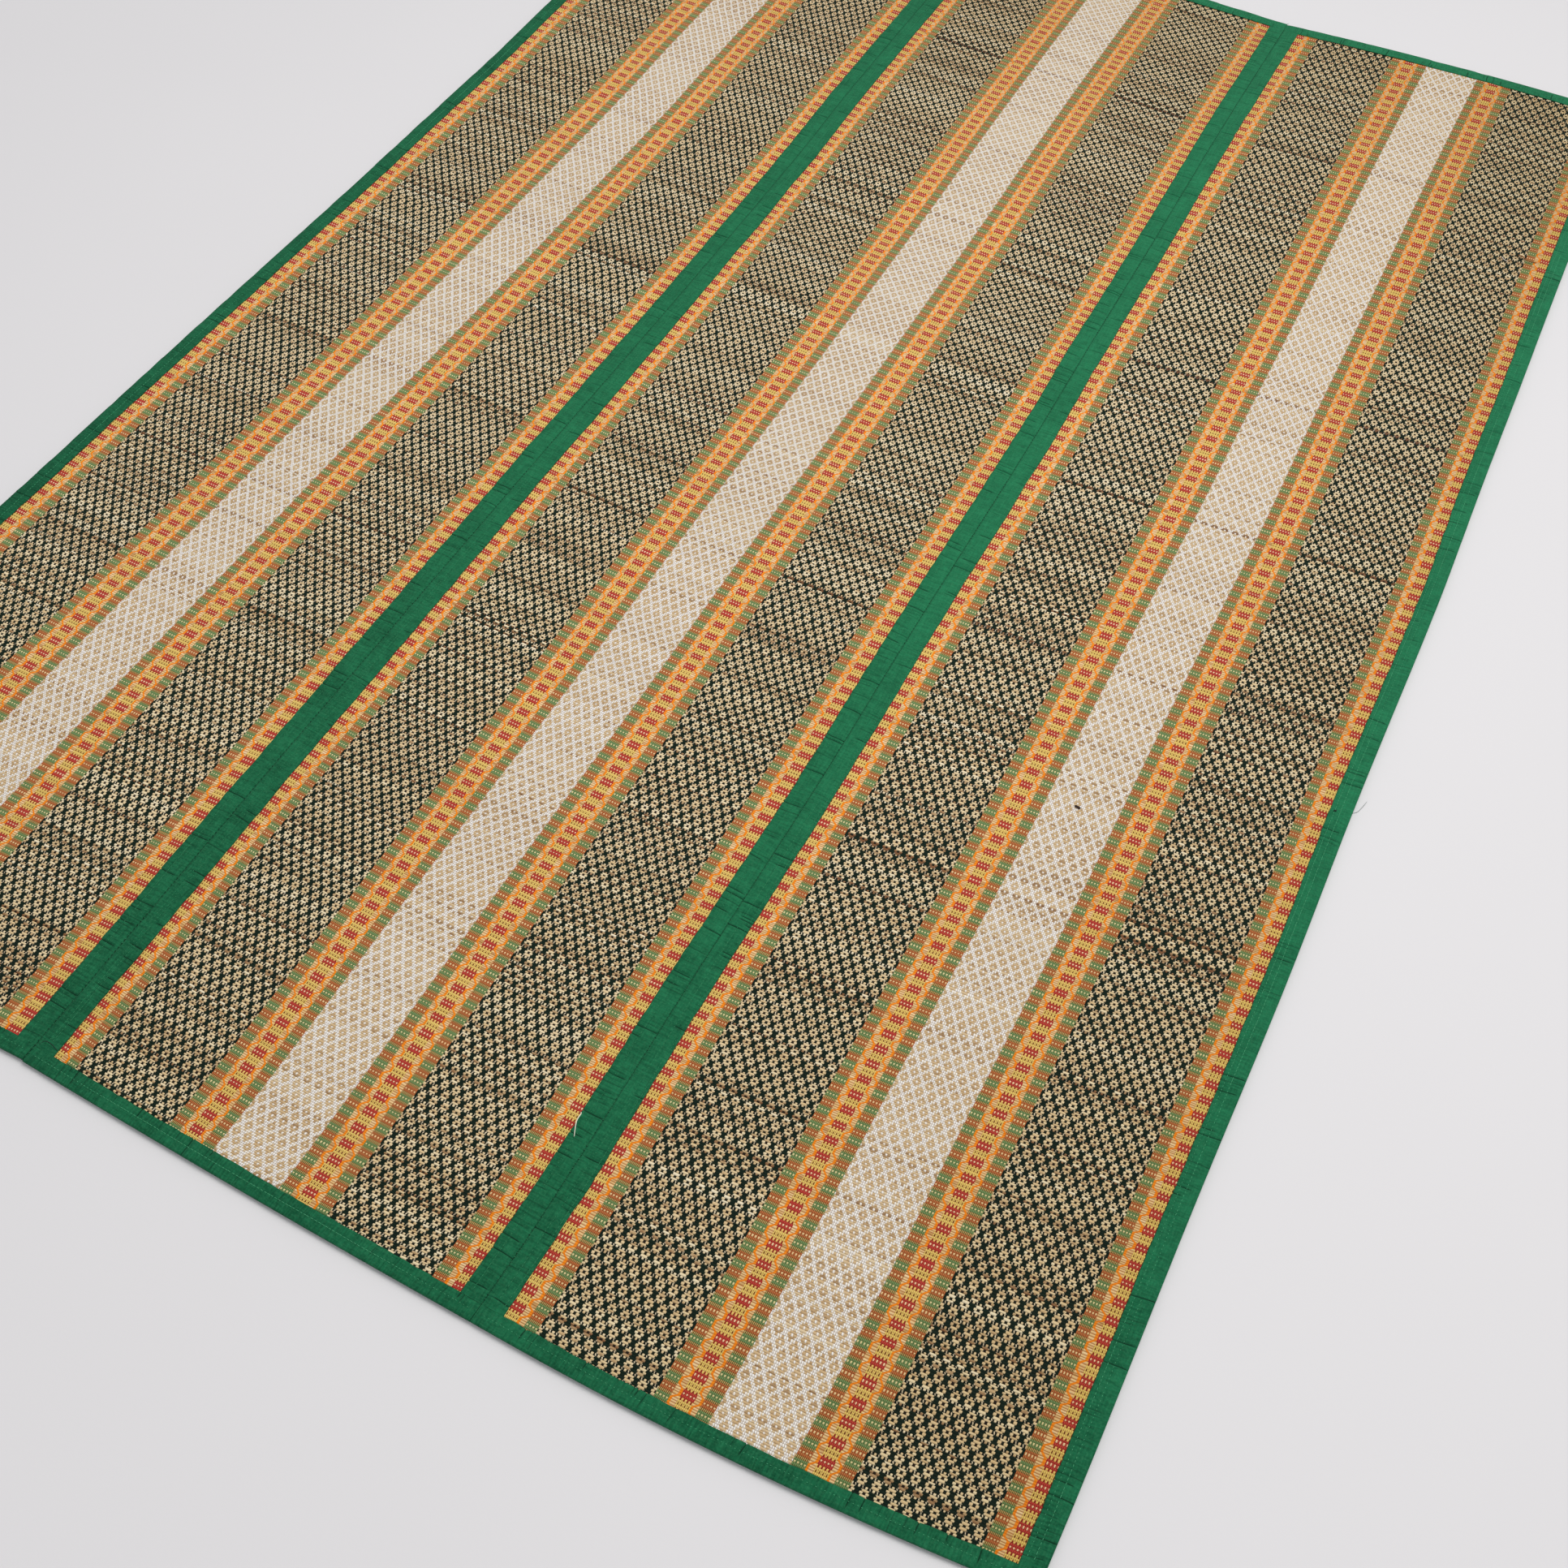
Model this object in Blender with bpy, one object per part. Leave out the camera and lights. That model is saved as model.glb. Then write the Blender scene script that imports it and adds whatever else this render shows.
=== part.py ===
"""Grass floor mat, about 1.22 m wide and 1.8 m long, lying flat.

Three sheets of woven grass lie side by side. Green cotton is folded over all four edges of each
sheet, and the bound sheets are sewn edge to edge. Metres, +Z up, +X across the mat and +Y along
it. The origin is on the floor, under the middle of the mat.
"""

import math
from typing import NamedTuple

import bmesh
import bpy
from mathutils import Vector

MM = 0.001

# Plan. A sheet's share of the mat runs from seam to seam.
SHEET_PITCH = 0.407
HALF_LENGTH = 0.900
SIDE_BINDING_WIDTH = 0.0165
END_BINDING_WIDTH = 0.014

# Thickness. The cotton is turned under, so a folded edge has two layers above and two below.
SHEET_THICKNESS = 0.0022
COTTON_THICKNESS = 0.0010
CLEARANCE = 0.0003
SLOT_HEIGHT = SHEET_THICKNESS + 2 * CLEARANCE
BINDING_THICKNESS = SLOT_HEIGHT + 2 * COTTON_THICKNESS
SHEET_BOTTOM = COTTON_THICKNESS + CLEARANCE
SHEET_INSET = COTTON_THICKNESS + CLEARANCE

# The fold's outer corners and the hem's inner lip are soft.
FOLD_RADIUS = 0.0017
LIP_RADIUS = 0.0004
FOLD_STEPS = 3
END_SOFTNESS = 0.0006

# Mesh steps along a side, across an end and over a sheet.
SIDE_STEPS = 18
END_STEPS = 8
SMOOTH_ANGLE = math.radians(50)

SHEET_NAMES = ("left", "middle", "right")


class SideRow(NamedTuple):
    """How far, in mm, each long line of the mat strays to the right at a place along it."""

    along: float
    left_edge: float
    left_seam: float
    right_seam: float
    right_edge: float


SIDE_ROWS = (
    SideRow(-0.92, -3.0, -1.5, -7.0, -4.0),
    SideRow(-0.82, -2.5, -1.5, -2.6, -2.2),
    SideRow(-0.60, -2.0, -2.7, -1.5, -1.5),
    SideRow(-0.40, -1.0, -2.3, 1.0, 0.8),
    SideRow(-0.20, -0.8, -2.0, 0.0, -0.3),
    SideRow(0.05, 1.2, -0.4, 1.0, 1.6),
    SideRow(0.22, 0.9, -0.6, -1.0, -0.8),
    SideRow(0.38, 0.6, -2.0, -2.0, -2.0),
    SideRow(0.50, -2.5, -5.6, -3.5, -3.4),
    SideRow(0.66, -4.5, -7.0, -5.2, -4.6),
    SideRow(0.92, -6.0, -6.0, -4.5, -5.6),
)


class EndRow(NamedTuple):
    """How far, in mm, a sheet's ends reach past the half length: at both corners, and the bow."""

    near_left: float
    near_right: float
    near_bow: float
    far_left: float
    far_right: float
    far_bow: float


END_ROWS = {
    "left": EndRow(-3.0, -1.0, 2.0, -1.0, -4.0, 3.0),
    "middle": EndRow(0.0, 10.0, 1.5, -3.5, -7.5, 5.0),
    "right": EndRow(10.0, -9.0, 7.0, -8.5, 3.0, 6.5),
}


def smooth_value(rows, column, along):
    """The value of one column at a place between the rows, on a smooth curve through them."""
    last = len(rows) - 1
    along = min(max(along, rows[0].along), rows[last].along)
    after = next(i for i in range(1, last + 1) if along <= rows[i].along)
    before = after - 1

    def slope(i):
        low, high = rows[max(i - 1, 0)], rows[min(i + 1, last)]
        return (high[column] - low[column]) / (high.along - low.along)

    span = rows[after].along - rows[before].along
    t = (along - rows[before].along) / span
    return (
        rows[before][column] * (2 * t**3 - 3 * t**2 + 1)
        + slope(before) * span * (t**3 - 2 * t**2 + t)
        + rows[after][column] * (3 * t**2 - 2 * t**3)
        + slope(after) * span * (t**3 - t**2)
    )


def long_line(number, y):
    """x of a long line: 0 is the left edge, 1 and 2 are the seams and 3 is the right edge."""
    straight = (number - len(SHEET_NAMES) / 2) * SHEET_PITCH
    return straight + MM * smooth_value(SIDE_ROWS, number + 1, y)


def sides_of(sheet, y):
    """x of a bound sheet's left and right edge; two sheets share the gap at their seam."""
    return long_line(sheet, y) + CLEARANCE / 2, long_line(sheet + 1, y) - CLEARANCE / 2


def ends_of(sheet, across):
    """y of a bound sheet's near and far end, at a share of its width."""
    row = END_ROWS[SHEET_NAMES[sheet]]
    bulge = 4 * across * (1 - across)
    near = row.near_left + across * (row.near_right - row.near_left) + row.near_bow * bulge
    far = row.far_left + across * (row.far_right - row.far_left) + row.far_bow * bulge
    return -HALF_LENGTH - MM * near, HALF_LENGTH + MM * far


def point_on_side(sheet, side, depth, share, end_inset):
    """A point in from a sheet's left (-1) or right (1) edge, at a share of its length."""
    across = depth / SHEET_PITCH if side < 0 else 1 - depth / SHEET_PITCH
    near, far = ends_of(sheet, across)
    y = near + end_inset + share * (far - near - 2 * end_inset)
    left, right = sides_of(sheet, y)
    return (left + depth if side < 0 else right - depth), y


def point_on_end(sheet, end, depth, across):
    """A point in from a sheet's near (-1) or far (1) end, at a share of its width."""
    near, far = ends_of(sheet, across)
    y = near + depth if end < 0 else far - depth
    left, right = sides_of(sheet, y)
    return left + across * (right - left), y


def cotton(name):
    """The green cotton of the bindings."""
    return plain_material(name, (0.013, 0.13, 0.06), 0.85)


def woven_grass(name):
    """Grass stems crossed by coloured cotton threads, as one average colour."""
    return plain_material(name, (0.27, 0.21, 0.11), 0.7)


def plain_material(name, colour, roughness):
    material = bpy.data.materials.new(name)
    material.use_nodes = True
    shader = material.node_tree.nodes["Principled BSDF"]
    shader.inputs["Base Color"].default_value = (*colour, 1)
    shader.inputs["Roughness"].default_value = roughness
    shader.inputs["Metallic"].default_value = 0
    material.diffuse_color = (*colour, 1)
    return material


def finished(name, shape, material):
    """The bmesh as an object, closed, facing out and smooth but for its sharp edges."""
    bmesh.ops.recalc_face_normals(shape, faces=shape.faces)
    mesh = bpy.data.meshes.new(name)
    shape.to_mesh(mesh)
    shape.free()
    mesh.shade_smooth()
    mesh.set_sharp_from_angle(angle=SMOOTH_ANGLE)
    mesh.materials.append(material)
    piece = bpy.data.objects.new(name, mesh)
    bpy.context.scene.collection.objects.link(piece)
    return piece


def quads_between(shape, first, second):
    for k in range(len(first) - 1):
        shape.faces.new((first[k], first[k + 1], second[k + 1], second[k]))


def sheet_of_grass(sheet, material):
    """One flat woven sheet, a little inside the fold of its bindings on all four edges."""
    shape = bmesh.new()
    top, bottom = [], []
    for height, layer in ((SHEET_BOTTOM + SHEET_THICKNESS, top), (SHEET_BOTTOM, bottom)):
        for i in range(SIDE_STEPS + 1):
            row = []
            for k in range(END_STEPS + 1):
                inset = SHEET_INSET * (1 - 2 * k / END_STEPS)
                across = k / END_STEPS + inset / SHEET_PITCH
                near, far = ends_of(sheet, across)
                y = near + SHEET_INSET + i / SIDE_STEPS * (far - near - 2 * SHEET_INSET)
                left, right = sides_of(sheet, y)
                x = left + SHEET_INSET + k / END_STEPS * (right - left - 2 * SHEET_INSET)
                row.append(shape.verts.new((x, y, height)))
            layer.append(row)
        for i in range(SIDE_STEPS):
            quads_between(shape, layer[i], layer[i + 1])
    quads_between(shape, top[0], bottom[0])
    quads_between(shape, top[-1], bottom[-1])
    quads_between(shape, [row[0] for row in top], [row[0] for row in bottom])
    quads_between(shape, [row[-1] for row in top], [row[-1] for row in bottom])
    return finished(f"{SHEET_NAMES[sheet]}_grass_sheet", shape, material)


def fold_outside(width):
    """Outer skin of the folded cotton, lower lip to upper lip: (depth from the fold, height)."""
    lower = [(width, LIP_RADIUS), (width - LIP_RADIUS, 0)]
    for step in range(FOLD_STEPS + 1):
        turn = math.pi / 2 * step / FOLD_STEPS
        lower.append((FOLD_RADIUS * (1 - math.sin(turn)), FOLD_RADIUS * (1 - math.cos(turn))))
    upper = [(depth, BINDING_THICKNESS - height) for depth, height in reversed(lower)]
    return lower + upper


def fold_inside(width):
    """Inner skin of the folded cotton around the sheet's edge, lower lip to upper lip."""
    low = COTTON_THICKNESS
    high = COTTON_THICKNESS + SLOT_HEIGHT
    return [(width, low), (COTTON_THICKNESS, low), (COTTON_THICKNESS, high), (width, high)]


def ring_at(shape, profile, place, share):
    return [shape.verts.new((*place(depth, share), height)) for depth, height in profile]


def side_binding(sheet, side, material):
    """Cotton folded over a long edge, from one end binding to the other."""

    def place(depth, share):
        return point_on_side(sheet, side, depth, share, END_BINDING_WIDTH + CLEARANCE)

    shape = bmesh.new()
    profile = fold_outside(SIDE_BINDING_WIDTH) + fold_inside(SIDE_BINDING_WIDTH)[::-1]
    rings = [ring_at(shape, profile, place, i / SIDE_STEPS) for i in range(SIDE_STEPS + 1)]
    for first, second in zip(rings, rings[1:]):
        quads_between(shape, [*first, first[0]], [*second, second[0]])
    shape.faces.new(rings[0])
    shape.faces.new(rings[-1])
    side_name = "left" if side < 0 else "right"
    return finished(f"{SHEET_NAMES[sheet]}_sheet_{side_name}_binding", shape, material)


def end_binding(sheet, end, material):
    """Cotton folded over an end and closed at both corners, so that the sheet sits in a pocket."""

    def place(depth, share):
        return point_on_end(sheet, end, depth, share)

    shape = bmesh.new()
    pocket_start = COTTON_THICKNESS / SHEET_PITCH
    shares = [pocket_start + (1 - 2 * pocket_start) * k / END_STEPS for k in range(END_STEPS + 1)]
    outside = fold_outside(END_BINDING_WIDTH)
    soft_outside = [
        (max(depth, END_SOFTNESS), min(max(height, END_SOFTNESS), BINDING_THICKNESS - END_SOFTNESS))
        for depth, height in outside
    ]
    outer = [ring_at(shape, soft_outside, place, 0)]
    outer += [ring_at(shape, outside, place, share) for share in shares]
    outer += [ring_at(shape, soft_outside, place, 1)]
    inner = [ring_at(shape, fold_inside(END_BINDING_WIDTH), place, share) for share in shares]
    for first, second in zip(outer, outer[1:]):
        quads_between(shape, first, second)
    for first, second in zip(inner, inner[1:]):
        quads_between(shape, first, second)
    for skin, lining in ((0, 0), (-1, -1)):
        lips = [ring[skin] for ring in outer[1:-1]]
        quads_between(shape, lips, [ring[lining] for ring in inner])
    for corner, beside, pocket in ((outer[0], outer[1], inner[0]), (outer[-1], outer[-2], inner[-1])):
        shape.faces.new(corner)
        shape.faces.new(pocket)
        shape.faces.new((corner[0], corner[-1], beside[-1], pocket[-1], pocket[0], beside[0]))
    end_name = "near" if end < 0 else "far"
    return finished(f"{SHEET_NAMES[sheet]}_sheet_{end_name}_binding", shape, material)


def set_on_origin(pieces):
    """Moves the mat so that the middle of its box is over the origin."""
    corners = [vertex.co for piece in pieces for vertex in piece.data.vertices]
    low = Vector(min(corner[axis] for corner in corners) for axis in range(3))
    high = Vector(max(corner[axis] for corner in corners) for axis in range(3))
    middle = (low + high) / 2
    for piece in pieces:
        piece.location = (-middle.x, -middle.y, -low.z)


def main():
    for old in list(bpy.data.objects):
        bpy.data.objects.remove(old)
    grass = woven_grass("woven_grass")
    green = cotton("green_cotton")
    pieces = []
    for sheet in range(len(SHEET_NAMES)):
        pieces.append(sheet_of_grass(sheet, grass))
        for side in (-1, 1):
            pieces.append(side_binding(sheet, side, green))
            pieces.append(end_binding(sheet, side, green))
    set_on_origin(pieces)


main()
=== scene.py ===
"""Grass floor mat: three woven grass sheets, bound in green cotton and sewn edge to edge.

Metres, +Z up, +X across the mat and +Y along it. The mat lies on a pale floor, seen from above its
near right side.
"""

import math
from functools import partial, partialmethod
from types import SimpleNamespace
from typing import NamedTuple

import bpy
import numpy as np
from mathutils import Matrix, Vector


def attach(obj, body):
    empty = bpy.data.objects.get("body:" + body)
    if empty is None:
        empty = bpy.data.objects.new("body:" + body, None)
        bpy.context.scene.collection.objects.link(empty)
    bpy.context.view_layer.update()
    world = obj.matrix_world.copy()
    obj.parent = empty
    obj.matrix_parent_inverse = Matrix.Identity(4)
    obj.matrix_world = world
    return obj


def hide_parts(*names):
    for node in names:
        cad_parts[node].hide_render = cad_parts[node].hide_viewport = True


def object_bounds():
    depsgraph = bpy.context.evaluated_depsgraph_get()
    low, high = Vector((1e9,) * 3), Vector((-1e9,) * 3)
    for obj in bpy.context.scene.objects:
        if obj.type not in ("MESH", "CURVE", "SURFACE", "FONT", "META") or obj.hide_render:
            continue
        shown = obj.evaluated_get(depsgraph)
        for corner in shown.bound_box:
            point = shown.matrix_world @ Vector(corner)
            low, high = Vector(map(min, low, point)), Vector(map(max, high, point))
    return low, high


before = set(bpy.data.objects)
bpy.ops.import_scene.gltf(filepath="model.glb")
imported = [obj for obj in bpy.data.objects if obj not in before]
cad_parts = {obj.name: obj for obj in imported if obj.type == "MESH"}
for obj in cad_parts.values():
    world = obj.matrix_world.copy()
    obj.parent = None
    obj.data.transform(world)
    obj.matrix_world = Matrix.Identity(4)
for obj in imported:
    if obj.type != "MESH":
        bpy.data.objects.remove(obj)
CAD_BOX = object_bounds()

MM = 0.001

# --- Plan of the mat: the same named sizes and tables as its solids.

SHEET_NAMES = ("left", "middle", "right")
SHEET_PITCH = 0.407
HALF_LENGTH = 0.900
SIDE_BINDING_WIDTH = 0.0165
END_BINDING_WIDTH = 0.014
SHEET_THICKNESS = 0.0022
COTTON_THICKNESS = 0.0010
CLEARANCE = 0.0003
# How far a side binding carries on under an end binding, so that no gap shows at a corner.
CORNER_TUCK = 0.0005
SHEET_BOTTOM = SHEET_INSET = COTTON_THICKNESS + CLEARANCE
BINDING_THICKNESS = SHEET_THICKNESS + 2 * CLEARANCE + 2 * COTTON_THICKNESS


class SideRow(NamedTuple):
    """How far, in mm, each long line of the mat strays to the right at a place along it."""

    along: float
    left_edge: float
    left_seam: float
    right_seam: float
    right_edge: float


SIDE_ROWS = (
    SideRow(-0.92, -3.0, -1.5, -7.0, -4.0),
    SideRow(-0.82, -2.5, -1.5, -2.6, -2.2),
    SideRow(-0.60, -2.0, -2.7, -1.5, -1.5),
    SideRow(-0.40, -1.0, -2.3, 1.0, 0.8),
    SideRow(-0.20, -0.8, -2.0, 0.0, -0.3),
    SideRow(0.05, 1.2, -0.4, 1.0, 1.6),
    SideRow(0.22, 0.9, -0.6, -1.0, -0.8),
    SideRow(0.38, 0.6, -2.0, -2.0, -2.0),
    SideRow(0.50, -2.5, -5.6, -3.5, -3.4),
    SideRow(0.66, -4.5, -7.0, -5.2, -4.6),
    SideRow(0.92, -6.0, -6.0, -4.5, -5.6),
)


class EndRow(NamedTuple):
    """How far, in mm, a sheet's ends reach past the half length: at both corners, and the bow."""

    near_left: float
    near_right: float
    near_bow: float
    far_left: float
    far_right: float
    far_bow: float


END_ROWS = {
    "left": EndRow(-3.0, -1.0, 2.0, -1.0, -4.0, 3.0),
    "middle": EndRow(0.0, 10.0, 1.5, -3.5, -7.5, 5.0),
    "right": EndRow(10.0, -9.0, 7.0, -8.5, 3.0, 6.5),
}

# --- The weave. A repeat is eight stems: its stem 0 has red centres and its stem 4 green ones.

STEMS_PER_REPEAT = 8
ROW_HALF_WIDTH = 0.187


class WeavePlan(NamedTuple):
    """At each tenth of a metre along a sheet's middle: repeats counted from the near end, and how
    a stem lies there, in mm: its rise from the middle to the right edge, and its upward bend."""

    repeats: tuple
    rise: tuple
    bend: tuple


WEAVE_PLACES = [tenth / 10 for tenth in range(-9, 10)]
WEAVE_PLANS = {
    "left": WeavePlan(
        (0.22, 6.90, 13.83, 20.19, 26.69, 33.63, 40.71, 47.70, 54.65, 61.67, 68.33, 75.66,
         82.74, 89.28, 96.23, 103.28, 110.07, 116.98, 123.88),
        (7.5, 6.8, 4.8, 1.7, 0.4, -0.3, -0.3, -2.6, -3.6, -3.3, -4.6, -5.4, -5.7, -7.4, -8.2,
         -8.0, -8.3, -8.7, -9.0),
        (-1.0, -0.3, 1.2, 3.7, 2.2, 1.0, -0.1, -0.1, -0.6, -1.6, -1.5, -2.3, -4.2, -4.9,
         -5.0, -4.5, -4.5, -4.3, -4.0),
    ),
    "middle": WeavePlan(
        (0.93, 7.94, 14.78, 21.70, 29.32, 36.14, 43.59, 50.46, 58.17, 65.65, 73.01, 80.59,
         89.04, 95.92, 103.91, 111.93, 120.35, 128.65, 137.14),
        (-1.6, -2.3, -2.2, -1.3, -2.0, -2.2, -2.1, -3.2, -3.4, -2.9, -5.1, -6.0, -5.7, -7.2,
         -8.0, -8.0, -8.7, -8.5, -7.5),
        (7.3, 5.0, 3.4, 2.5, 2.8, 2.9, 2.8, 2.9, 2.5, 1.8, 1.4, 0.7, -0.3, -1.2, -1.4, -1.0,
         -0.3, -0.3, -1.0),
    ),
    "right": WeavePlan(
        (0.88, 7.54, 14.12, 21.24, 28.09, 35.16, 41.69, 48.28, 54.65, 61.40, 68.09, 74.50,
         81.27, 87.63, 94.09, 100.12, 106.70, 113.51, 119.71),
        (7.1, 8.7, 10.8, 13.4, 12.2, 10.9, 9.4, 10.2, 10.9, 11.4, 10.7, 10.9, 12.2, 10.5,
         9.7, 10.0, 9.0, 8.7, 9.0),
        (4.3, 1.8, 0.4, 0.2, 0.2, 0.2, 0.3, 0.2, -0.6, -2.0, -1.5, -1.5, -2.0, -2.9, -3.4,
         -3.5, -4.2, -4.5, -4.5),
    ),
}
REPEATS_PER_METRE = 68

# Chart across a sheet, counted in thread ends from its middle. Each band starts at a border.
BORDER_ENDS = (18, 24, 27, 33, 36, 42, 96, 102, 105, 111)
DARK_MIDDLE = 69
LAST_SHOWN = 112.2
HIDDEN_ENDS = 120
FLOWER_PITCH = 6
WAVE_WIDTH = 3
# A flower's parts, in thread ends from its centre: side petals, bars, small squares, slashes.
PETAL_PLACE, PETAL_HALF = 1.28, 0.80
BAR_HALF, SQUARE_HALF = 1.53, 0.60
SLASH_PLACE, SLASH_HALF = 1.5, 0.31
# How far a thread leans, in thread ends a stem.
THREAD_LEAN = 0.45

# Where those borders lie in each sheet, in mm from its middle: left of it, then right of it.
BORDER_PLACES = {
    "left": (
        (28.5, 38.6, 44.0, 54.2, 60.0, 69.7, 161.5, 171.0, 177.0, 187.2),
        (30.5, 40.2, 45.4, 55.6, 60.7, 70.0, 160.5, 169.5, 175.3, 185.3),
    ),
    "middle": (
        (27.5, 37.8, 43.3, 53.7, 59.5, 69.5, 160.0, 170.0, 176.0, 186.0),
        (32.5, 42.3, 47.6, 57.9, 63.0, 73.0, 163.0, 171.7, 177.5, 187.5),
    ),
    "right": (
        (28.7, 38.7, 44.0, 54.2, 60.0, 69.7, 161.5, 171.0, 177.0, 187.2),
        (31.5, 41.2, 46.5, 56.8, 61.9, 71.7, 162.3, 171.0, 176.9, 187.0),
    ),
}
# The middle sheet is the same weave, laid the other way round.
TURNED = {"left": 1, "middle": -1, "right": 1}


class OddStem(NamedTuple):
    """A run of stems that stands out: its place along a sheet, how many, and its tone."""

    sheet: str
    along: float
    count: int
    tone: float


ODD_STEMS = (
    OddStem("middle", 0.655, 3, 0.16),
    OddStem("middle", -0.200, 2, 0.27),
    OddStem("middle", 0.310, 1, 0.26),
    OddStem("middle", -0.520, 1, 0.30),
    OddStem("right", 0.240, 2, 0.20),
    OddStem("right", 0.045, 2, 0.22),
    OddStem("right", -0.160, 1, 0.18),
    OddStem("right", -0.420, 2, 0.24),
    OddStem("right", -0.710, 1, 0.30),
    OddStem("right", -0.812, 2, 0.80),
    OddStem("left", 0.120, 1, 0.22),
    OddStem("left", -0.330, 2, 0.24),
)

STEM_SHOULDER = 0.22
VALLEY_DEPTH = 0.00038
SHOULDER_HEIGHT = 0.00006
RIB_ALLOWANCE = 0.0002
SAG_RUN, SHEET_REST_HEIGHT = 0.030, 0.00030
RIPPLE_HEIGHT, RIPPLE_WAVES, RIPPLE_LENGTHS = 0.00025, 7, (0.10, 0.45)
# Size of the underside on its bake map, and how wide that map is in metres.
UNDER_SCALE, SHEET_BAKE_SIDE = 0.28, 0.945
SPACING_SMOOTHING = 33
# Thinnest, usual and thickest stem against the mean, and the tone of most stems and of odd ones.
STEM_THICKNESS = (0.66, 0.95, 1.45)
THICK_STEM_RISE = 0.0003
STEM_TONE, STEM_TONE_LIMITS = (0.56, 0.11), (0.3, 0.86)
PALE_SHARE, PALE_TONE = 0.040, 0.80
BROWN_SHARE, BROWN_TONE = 0.045, 0.34
TONE_SWING, TONE_PACES = 0.07, (2, 6)

# --- Bindings.

# Rings of the mesh along a binding: how far apart, the last but one, and the least room for one.
RING_STEP, RING_END, RING_CLEAR, RING_APART = 0.005, 0.0008, 0.0012, 0.00018
PUCKER_HALF, PUCKER_DEPTH, PUCKER_SHOULDER, PUCKER_PULL = 0.0007, 0.00055, 0.00012, 0.00035
STRONG_SHARE, STRONG_SIZES, FAINT_SIZES = 0.35, (1.2, 1.7), (0.25, 0.7)
# How puckers are spread: spaced at random, crowded towards the ends of a strip, some in pairs.
GAP_SHAPE, LEAST_GAP = 1.6, 0.0032
CROWDED_END, CROWDING = 0.15, 1.6
PAIR_SHARE, PAIR_GAPS = 0.18, (0.0026, 0.004)
FIRST_PUCKER, LAST_PUCKER = 0.004, 0.003
REACH_SPREAD, REACH_LIMITS = 0.25, (0.3, 1.25)
# Unevenness, as sizes and the steps they vary in: swell, inner edge, and the lie of the rings.
SWELL = ((0.00016, 0.011), (0.00010, 0.027))
EDGE_WANDER = ((0.0004, 0.009), (0.0005, 0.06))
RING_LEAN, RING_ARCH = ((0.0016, 0.045),), ((0.0011, 0.06),)
PRESSED_END = 0.86
LAP_LENGTH, LAP_LIFT, LAP_GAP = 0.009, 0.0004, 0.0004
LAP_RINGS = (-0.0011, -LAP_GAP, 0, 0.0012)
DENT_HALF, DENT_DEPTH = 0.0009, 0.00024
# Depth as a share of a binding's width, and how far its upper side lies below its full height.
UPPER_SIDE = (
    (0.12, 0.00015), (0.22, 0.00005), (0.33, 0.0), (0.44, 0.00005), (0.52, 0.0001), (0.60, 0.00015),
    (0.68, 0.0002), (0.78, 0.0003), (0.88, 0.00038), (0.965, 0.00055), (1.0, 0.00095),
)


class BindingRow(NamedTuple):
    """How one side binding is gathered and sewn: puckers a metre, how far across they reach, how
    much wider than planned it was folded, in mm, the depth in mm of each line of stitches from
    the fold, and the places along it where a new length of cotton laps over the last."""

    sheet: str
    side: int
    puckers: float
    reach: float
    wider: float
    stitch_lines: tuple
    laps: tuple


BINDING_ROWS = (
    BindingRow("left", -1, 30, 0.90, 0.4, (9.5,), (-0.449,)),
    BindingRow("left", 1, 60, 0.95, 0.7, (11.0,), (-0.300,)),
    BindingRow("middle", -1, 28, 0.70, 1.8, (9.6, 6.8), ()),
    BindingRow("middle", 1, 85, 1.00, 0.8, (11.0,), (0.430,)),
    BindingRow("right", -1, 48, 0.80, 1.0, (8.3, 14.6), (-0.540,)),
    BindingRow("right", 1, 46, 0.95, 1.0, (9.5, 14.0), (-0.688, 0.558)),
)
END_ROW = BindingRow("", 0, 45, 0.7, 0.0, (7.3,), ())
SIDE_COTTON_WIDTH, END_COTTON_WIDTH = 0.048, 0.040
COTTON_PITCH = 0.00042
STITCH_PITCH = 0.0032
STITCH_LENGTHS = (0.0011, 0.0025)
STITCH_RADIUS, STITCH_MARGIN = 0.00021, 0.006
STITCH_JITTER, STITCH_WANDER, STITCH_TILT = 0.00022, 0.00018, 0.00016
STITCH_SHAPE = ((0, -0.00022), (0.5, 0.00012), (1, -0.00022))
THREAD_SIDES, THREAD_TAPER = 5, 0.72
SIDE_STITCH_HEIGHT, END_STITCH_HEIGHT = 0.0046, 0.0047
SEAM_PITCH = 0.0038
SEAM_HALF_REACH = 0.0010
SEAM_STITCH_HEIGHT = 0.0043
SEAM_STITCH_RADIUS = 0.00030


class LooseRow(NamedTuple):
    """A loose end that shows: its points on the mat in metres, its radius and its two tones."""

    name: str
    slot: str
    radius: float
    tones: tuple
    places: tuple


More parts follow.
